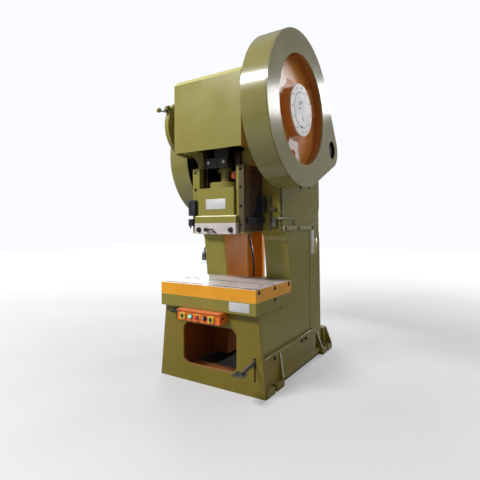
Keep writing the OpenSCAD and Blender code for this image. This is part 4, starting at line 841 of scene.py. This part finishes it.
class PRESS_OT_fasteners(bpy.types.Operator):
    """Rail screws, hub screws, painted shade in the holes of the disc, guard bolts and drain screws"""
    bl_idname = "press.fasteners"
    bl_label = "Fasteners"

    def execute(self, context):
        self.rail_screws()
        self.hub_screws()
        self.disc_hole_shade()
        self.guard_bolts()
        return {"FINISHED"}

    def rail_screws(self):
        bm = bmesh.new()
        for side in (-1, 1):
            for z in (1.48, 1.66, 1.84, 2.01):
                add_cap_screw(bm, spot(side * 0.268, -0.1285, z), -Y, 0.0145, 0.015, 0.008, 0.008, 24)
        add_piece(bm, "rail_screws", *BLACK)

    def hub_screws(self):
        bm = bmesh.new()
        head_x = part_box("gear_ring")[1].x - 0.005
        for i in range(12):
            point = round_crank(head_x, 0.198, 30 * i)
            add_cap_screw(bm, point, X, 0.0065, 0.007, 0.0035, 0.003, 16)
        add_piece(bm, "hub_screws", *BLACK, "gear")
        bm = bmesh.new()
        add_hex(bm, round_crank(HOME.x + 0.756, 0.462, 144), X, 0.022, 0.018, 0.028)
        add_piece(bm, "pad_bolt", *BRIGHT, "gear")

    def disc_hole_shade(self):
        """Dark studs in the disc's holes, as painted shade inside them."""
        bm = bmesh.new()
        disc_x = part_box("clutch_disc")[0].x + 0.034
        for angle in (90, 150, 210):
            turn = radians(angle)
            y, z = CRANK.y + 0.052 * cos(turn), CRANK.z + 0.03 + 0.044 * sin(turn)
            add_rod(bm, Vector((disc_x, y, z)), X, 0.0148, 0.0095, 0, 28)
        add_rod(bm, Vector((disc_x, CRANK.y, CRANK.z - 0.1465)), X, 0.007, 0.0095, 0, 24)
        add_piece(bm, "disc_hole_shade", *BLACK, "crank")

    def guard_bolts(self):
        bm = bmesh.new()
        inner_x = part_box("flywheel_guard")[1].x - HOME.x
        for z in (2.08, 2.7):
            add_hex(bm, spot(inner_x - 0.008, 0.45, z), -X, 0.016, 0.012, 0.024)
        add_piece(bm, "guard_bolts", *BRIGHT)
        bm = bmesh.new()
        add_hex(bm, spot(0.5395, -0.002, 0.795), X, 0.012, 0.009, 0.017)
        guard_radius = 0.691
        for y in (-0.035, 0.16):
            low = CRANK.z - sqrt(guard_radius ** 2 - y * y)
            add_rod(bm, spot(0.82, y, low + 0.004), -Z, 0.006, 0.03, 0.001, 16)
            add_hex(bm, spot(0.82, y, low - 0.002), -Z, 0.011, 0.009)
        add_piece(bm, "drain_screws", *BLACK)


# Profiles of turned pieces, as radius and height

RUN_CAP = ((0, 0.0185), (0.008, 0.018), (0.0135, 0.0168), (0.0165, 0.0145), (0.0168, 0.012), (0, 0.012))
INDICATOR_DOME = ((0, 0.03), (0.006, 0.0292), (0.0115, 0.0265), (0.0152, 0.0215), (0.0165, 0.015),
                  (0.0168, 0.0085), (0, 0.0085))
BOX_SCREW = ((0, 0.004), (0.004, 0.0035), (0.0065, 0.0015), (0.0068, 0), (0, 0))
GUARD_SCREW = ((0, 0.003), (0.003, 0.0026), (0.0048, 0.001), (0.005, 0), (0, 0))
CONDUIT_RING = ((0.0202, 0), (0.026, 0), (0.026, 0.006), (0.024, 0.0075), (0.0202, 0.0075), (0.0202, 0))
LAMP_DOME = ((0, -0.026), (0.01, -0.0255), (0.02, -0.0235), (0.028, -0.0195), (0.0325, -0.0125),
             (0.0325, 0.0005), (0, 0.0005))
LAMP_BAND = ((0.0345, 0.0015), (0.0393, 0.0015), (0.0393, 0.004), (0.0372, 0.048), (0.0352, 0.048),
             (0.0345, 0.0015))
LAMP_RIB = ((0.0322, 0), (0.0345, 0.0012), (0.0345, 0.0034), (0.0322, 0.0046), (0.0322, 0))
NECK_RING = ((0.0078, -0.0028), (0.0094, -0.0012), (0.0094, 0.0012), (0.0078, 0.0028), (0.0078, -0.0028))


# Controls

class PRESS_OT_controls(bpy.types.Operator):
    """Collars, domes, pointer and screws of the control box"""
    bl_idname = "press.controls"
    bl_label = "Controls"

    def execute(self, context):
        self.make_run_buttons()
        self.make_collars()
        self.make_indicator(context.scene.press_colours.mint)
        self.make_pointer()
        self.make_box_screws()
        return {"FINISHED"}

    def middle(self, node):
        """The middle of a button, on the face of the box."""
        x, _, z = middle_of(node)
        return Vector((x, HOME.y + PANEL_Y, z))

    def ring(self, bm, node, inner, outer, back, front):
        """A ring with chamfered front corners, round a button."""
        chamfer = 0.001
        profile = [(inner, back), (outer, back), (outer, front - chamfer), (outer - chamfer, front),
                   (inner + chamfer, front), (inner, front - chamfer), (inner, back)]
        add_turned(bm, profile, self.middle(node), -Y, 36)

    def make_run_buttons(self):
        for side in ("left", "right"):
            button = f"run_button_{side}"
            bm = bmesh.new()
            add_turned(bm, RUN_CAP, self.middle(button), -Y, 36)
            add_piece(bm, f"run_cap_{side}", "button_green", "green_plastic", f"{side}_button")
            bm = bmesh.new()
            self.ring(bm, button, 0.0174, 0.0199, 0.001, 0.0215)
            add_piece(bm, f"run_collar_{side}", *DARK)

    def make_collars(self):
        bm = bmesh.new()
        self.ring(bm, "indicator_lamp", 0.0192, 0.0235, 0.0, 0.0095)
        self.ring(bm, "selector_knob", 0.0195, 0.0235, 0.0, 0.007)
        self.ring(bm, "stop_button", 0.0115, 0.0185, 0.0, 0.0055)
        add_piece(bm, "panel_collars", *DARK)
        bm = bmesh.new()
        self.ring(bm, "stop_button", 0.0187, 0.031, 0.0, 0.0035)
        add_piece(bm, "stop_plate", "amber_plastic", "yellow_plastic")

    def make_indicator(self, mint):
        new_material("mint_glow", {"Base Color": rgba(mint), "Roughness": 0.15,
                                   "Emission Color": (0.25, 0.9, 0.6, 1), "Emission Strength": 0.55})
        bm = bmesh.new()
        add_turned(bm, INDICATOR_DOME, self.middle("indicator_lamp"), -Y, 36)
        add_piece(bm, "indicator_dome", "mint_glow", "mint_lens")

    def make_pointer(self):
        moulded("white_plastic", (0.75, 0.75, 0.72))
        centre = self.middle("selector_knob")
        low, high = Vector((-0.003, -0.0232, -0.004)), Vector((0.003, -0.0215, 0.0165))
        bm = bmesh.new()
        add_box(bm, centre + low, centre + high, 0.0006)
        add_piece(bm, "selector_pointer", "white_plastic", "bright_steel", "selector")

    def make_box_screws(self):
        low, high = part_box("control_box")
        bm = bmesh.new()
        add_hex(bm, Vector((high.x - 0.004, HOME.y - 0.373, 0.654)), X, 0.0075, 0.006, 0.011)
        for x in (low.x + 0.03, high.x - 0.03):
            add_turned(bm, BOX_SCREW, Vector((x, low.y, high.z - 0.012)), -Y, 18)
        add_piece(bm, "box_screws", *BLACK)
        bm = bmesh.new()
        inlet = Vector((low.x + 0.004, HOME.y - 0.36, high.z - 0.044))
        add_turned(bm, CONDUIT_RING, inlet, -X, 32)
        add_piece(bm, "conduit_ring", *BRIGHT)


# Work lamp and light guards

class PRESS_OT_lamps(bpy.types.Operator):
    """Glowing glass, neck rings and switch of the work lamp; lenses of the light guards"""
    bl_idname = "press.lamps"
    bl_label = "Lamp and light guards"

    def execute(self, context):
        self.make_work_lamp()
        self.make_neck()
        self.make_guards()
        return {"FINISHED"}

    def make_work_lamp(self):
        low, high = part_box("lamp_head")
        x, y = middle_of("lamp_head").xy
        new_material("lamp_glass", {"Base Color": (0.3, 0.32, 0.36, 1), "Roughness": 0.2,
                                    "Emission Color": (0.76, 0.86, 1.0, 1), "Emission Strength": 0.75})
        bm = bmesh.new()
        add_turned(bm, LAMP_DOME, Vector((x, y, low.z + 0.0205)), Z, 36)
        add_turned(bm, LAMP_BAND, Vector((x, y, low.z)), Z, 36)
        add_piece(bm, "lamp_glass", "lamp_glass", "lamp_metal", smooth=60)
        bm = bmesh.new()
        add_rod(bm, Vector((x, y - 0.028, high.z - 0.03)), -Y, 0.006, 0.012, 0.001, 20)
        for i in range(5):
            add_turned(bm, LAMP_RIB, Vector((x, y, high.z - 0.075 - 0.009 * i)), Z, 40)
        add_piece(bm, "lamp_rings", "cast_aluminium", "lamp_metal")

    def make_neck(self):
        """Rings up the straight foot of the neck and round its bend."""
        bend, turn, arc_steps = 0.038, radians(210), 24
        foot = spot(-COLUMN_X - 0.014, 0.47, 1.128)
        out = Vector((cos(turn), sin(turn), 0))
        path = [foot + Z * (0.004 + 0.0064 * i) for i in range(11)]
        for i in range(arc_steps + 1):
            angle = pi * (1 - i / arc_steps)
            path.append(foot + Z * 0.068 + out * bend
                        + out * bend * cos(angle) + Z * bend * sin(angle))
        bm = bmesh.new()
        for here, ahead in zip(path, path[1:]):
            add_turned(bm, NECK_RING, here, ahead - here, 20)
        add_piece(bm, "neck_rings", "soft_rubber", "black_rubber", smooth=50)

    def make_guards(self):
        values = {"Base Color": (0.02, 0.012, 0.02, 1), "Roughness": 0.06, "Coat Weight": 1.0}
        new_material("dark_lens", values)
        flat = (1, 0.5, 1)
        bm = bmesh.new()
        for i in range(7):
            add_ball(bm, spot(-0.262, -0.192, 1.595 + 0.021 * i), 0.0065, 14, flat)
        add_ball(bm, spot(-0.302, -0.186, 1.513), 0.008, 14, flat)
        add_piece(bm, "guard_lenses", "dark_lens", "black_plastic", smooth=60)
        bm = bmesh.new()
        for y, z in ((0.11, 1.625), (0.172, 1.625), (0.11, 1.757), (0.172, 1.757)):
            add_turned(bm, GUARD_SCREW, spot(0.364, y, z), X, 16)
        for z in (1.588, 1.727):
            add_turned(bm, GUARD_SCREW, spot(-0.317, -0.192, z), -Y, 16)
        add_piece(bm, "guard_screws", *BRIGHT)


# Lubrication, motor and pedal

class PRESS_OT_lubrication(bpy.types.Operator):
    """Handles, nuts and clips of the oil valves and pipes"""
    bl_idname = "press.lubrication"
    bl_label = "Lubrication"

    def execute(self, context):
        bm = bmesh.new()
        for z in (1.472, 1.64):
            add_rod(bm, spot(0.442, PIPE_Y, z), X, 0.0135, 0.02, 0.002, 24)
            add_rod(bm, spot(0.452, PIPE_Y, z - 0.022), Z, 0.0055, 0.044, 0.001, 16)
        add_piece(bm, "valve_handles", *DARK)
        bm = bmesh.new()
        for z in (1.43, 1.458, 1.488, 1.612, 1.656, 1.775):
            add_rod(bm, spot(0.401, PIPE_Y, z), Z, 0.0105, 0.012, 0, 6)
        for z in (1.45, 1.6, 1.8):
            add_box(bm, spot(0.497, 0.196, z), spot(0.5199, 0.2109, z + 0.012), 0.002)
        add_piece(bm, "pipe_nuts", "cast_aluminium", "valve_metal")
        return {"FINISHED"}


class PRESS_OT_motor_trim(bpy.types.Operator):
    """Lifting eye and box lid of the motor"""
    bl_idname = "press.motor_trim"
    bl_label = "Motor trim"

    def execute(self, context):
        low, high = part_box("motor")
        bm = bmesh.new()
        eye = Vector(((low.x + high.x) / 2 - 0.04, MOTOR.y, MOTOR.z + 0.15))
        add_rod(bm, eye, Z, 0.014, 0.018, 0.002, 24)
        ring, radius, steps = eye + Z * 0.036, 0.02, 28
        turns = [2 * pi * i / steps for i in range(steps + 1)]
        points = [ring + Vector((radius * cos(a), 0, radius * sin(a))) for a in turns]
        for start, end in zip(points, points[1:]):
            add_rod(bm, start, end - start, 0.006, (end - start).length * 1.15, 0, 12)
        add_piece(bm, "motor_eye", *BRIGHT)
        bm = bmesh.new()
        corner = Vector((low.x + 0.11, MOTOR.y, MOTOR.z))
        add_box(bm, corner + Vector((-0.004, 0.056, 0.13)), corner + Vector((0.124, 0.169, 0.141)), 0.003)
        for x in (0.01, 0.11):
            for y in (0.07, 0.155):
                add_rod(bm, corner + Vector((x, y, 0.141)), Z, 0.005, 0.003, 0.0008, 16)
        add_piece(bm, "motor_box_lid", "motor_enamel", "motor_paint")
        return {"FINISHED"}


class PRESS_OT_pedal_trim(bpy.types.Operator):
    """Raised chequer of the treadle"""
    bl_idname = "press.pedal_trim"
    bl_label = "Pedal"

    def execute(self, context):
        bm = bmesh.new()
        treadle_top = 0.265
        bar = Matrix.Diagonal((0.011, 0.0035, 0.0024, 1))
        for i in range(7):
            for j in range(6):
                centre = spot(0.4275 + 0.014 * i, -0.545 + 0.0145 * j, treadle_top)
                turn = 1 if (i + j) % 2 else -1
                where = Matrix.Translation(centre) @ Matrix.Rotation(turn * pi / 4, 4, "Z") @ bar
                bmesh.ops.create_cube(bm, size=1, matrix=where)
        add_piece(bm, "treadle_chequer", *BLACK, "foot_pedal")
        return {"FINISHED"}


STEPS = (PRESS_OT_stage, PRESS_OT_cable, PRESS_OT_enamel_finish, PRESS_OT_metal_finish,
         PRESS_OT_plastic_finish, PRESS_OT_plates, PRESS_OT_welds, PRESS_OT_fasteners, PRESS_OT_controls,
         PRESS_OT_lamps, PRESS_OT_lubrication, PRESS_OT_motor_trim, PRESS_OT_pedal_trim)


class PRESS_PT_panel(bpy.types.Panel):
    """Lists the steps that dress the press"""
    bl_idname = "PRESS_PT_panel"
    bl_label = "Stamping press"
    bl_space_type = "VIEW_3D"
    bl_region_type = "UI"
    bl_category = "Press"

    def draw(self, context):
        for step in STEPS:
            self.layout.operator(step.bl_idname)
        for name in PressColours.__annotations__:
            self.layout.prop(context.scene.press_colours, name)


CLASSES = (PressColours, PressStage, *STEPS, PRESS_PT_panel)


def register():
    for item in CLASSES:
        bpy.utils.register_class(item)
    bpy.types.Scene.press_colours = PointerProperty(type=PressColours)
    bpy.types.Scene.press_stage = PointerProperty(type=PressStage)


def unregister():
    del bpy.types.Scene.press_stage
    del bpy.types.Scene.press_colours
    for item in reversed(CLASSES):
        bpy.utils.unregister_class(item)


def main():
    register()
    for step in STEPS:
        group, name = step.bl_idname.split(".")
        getattr(getattr(bpy.ops, group), name)()


if __name__ == "__main__":
    main()
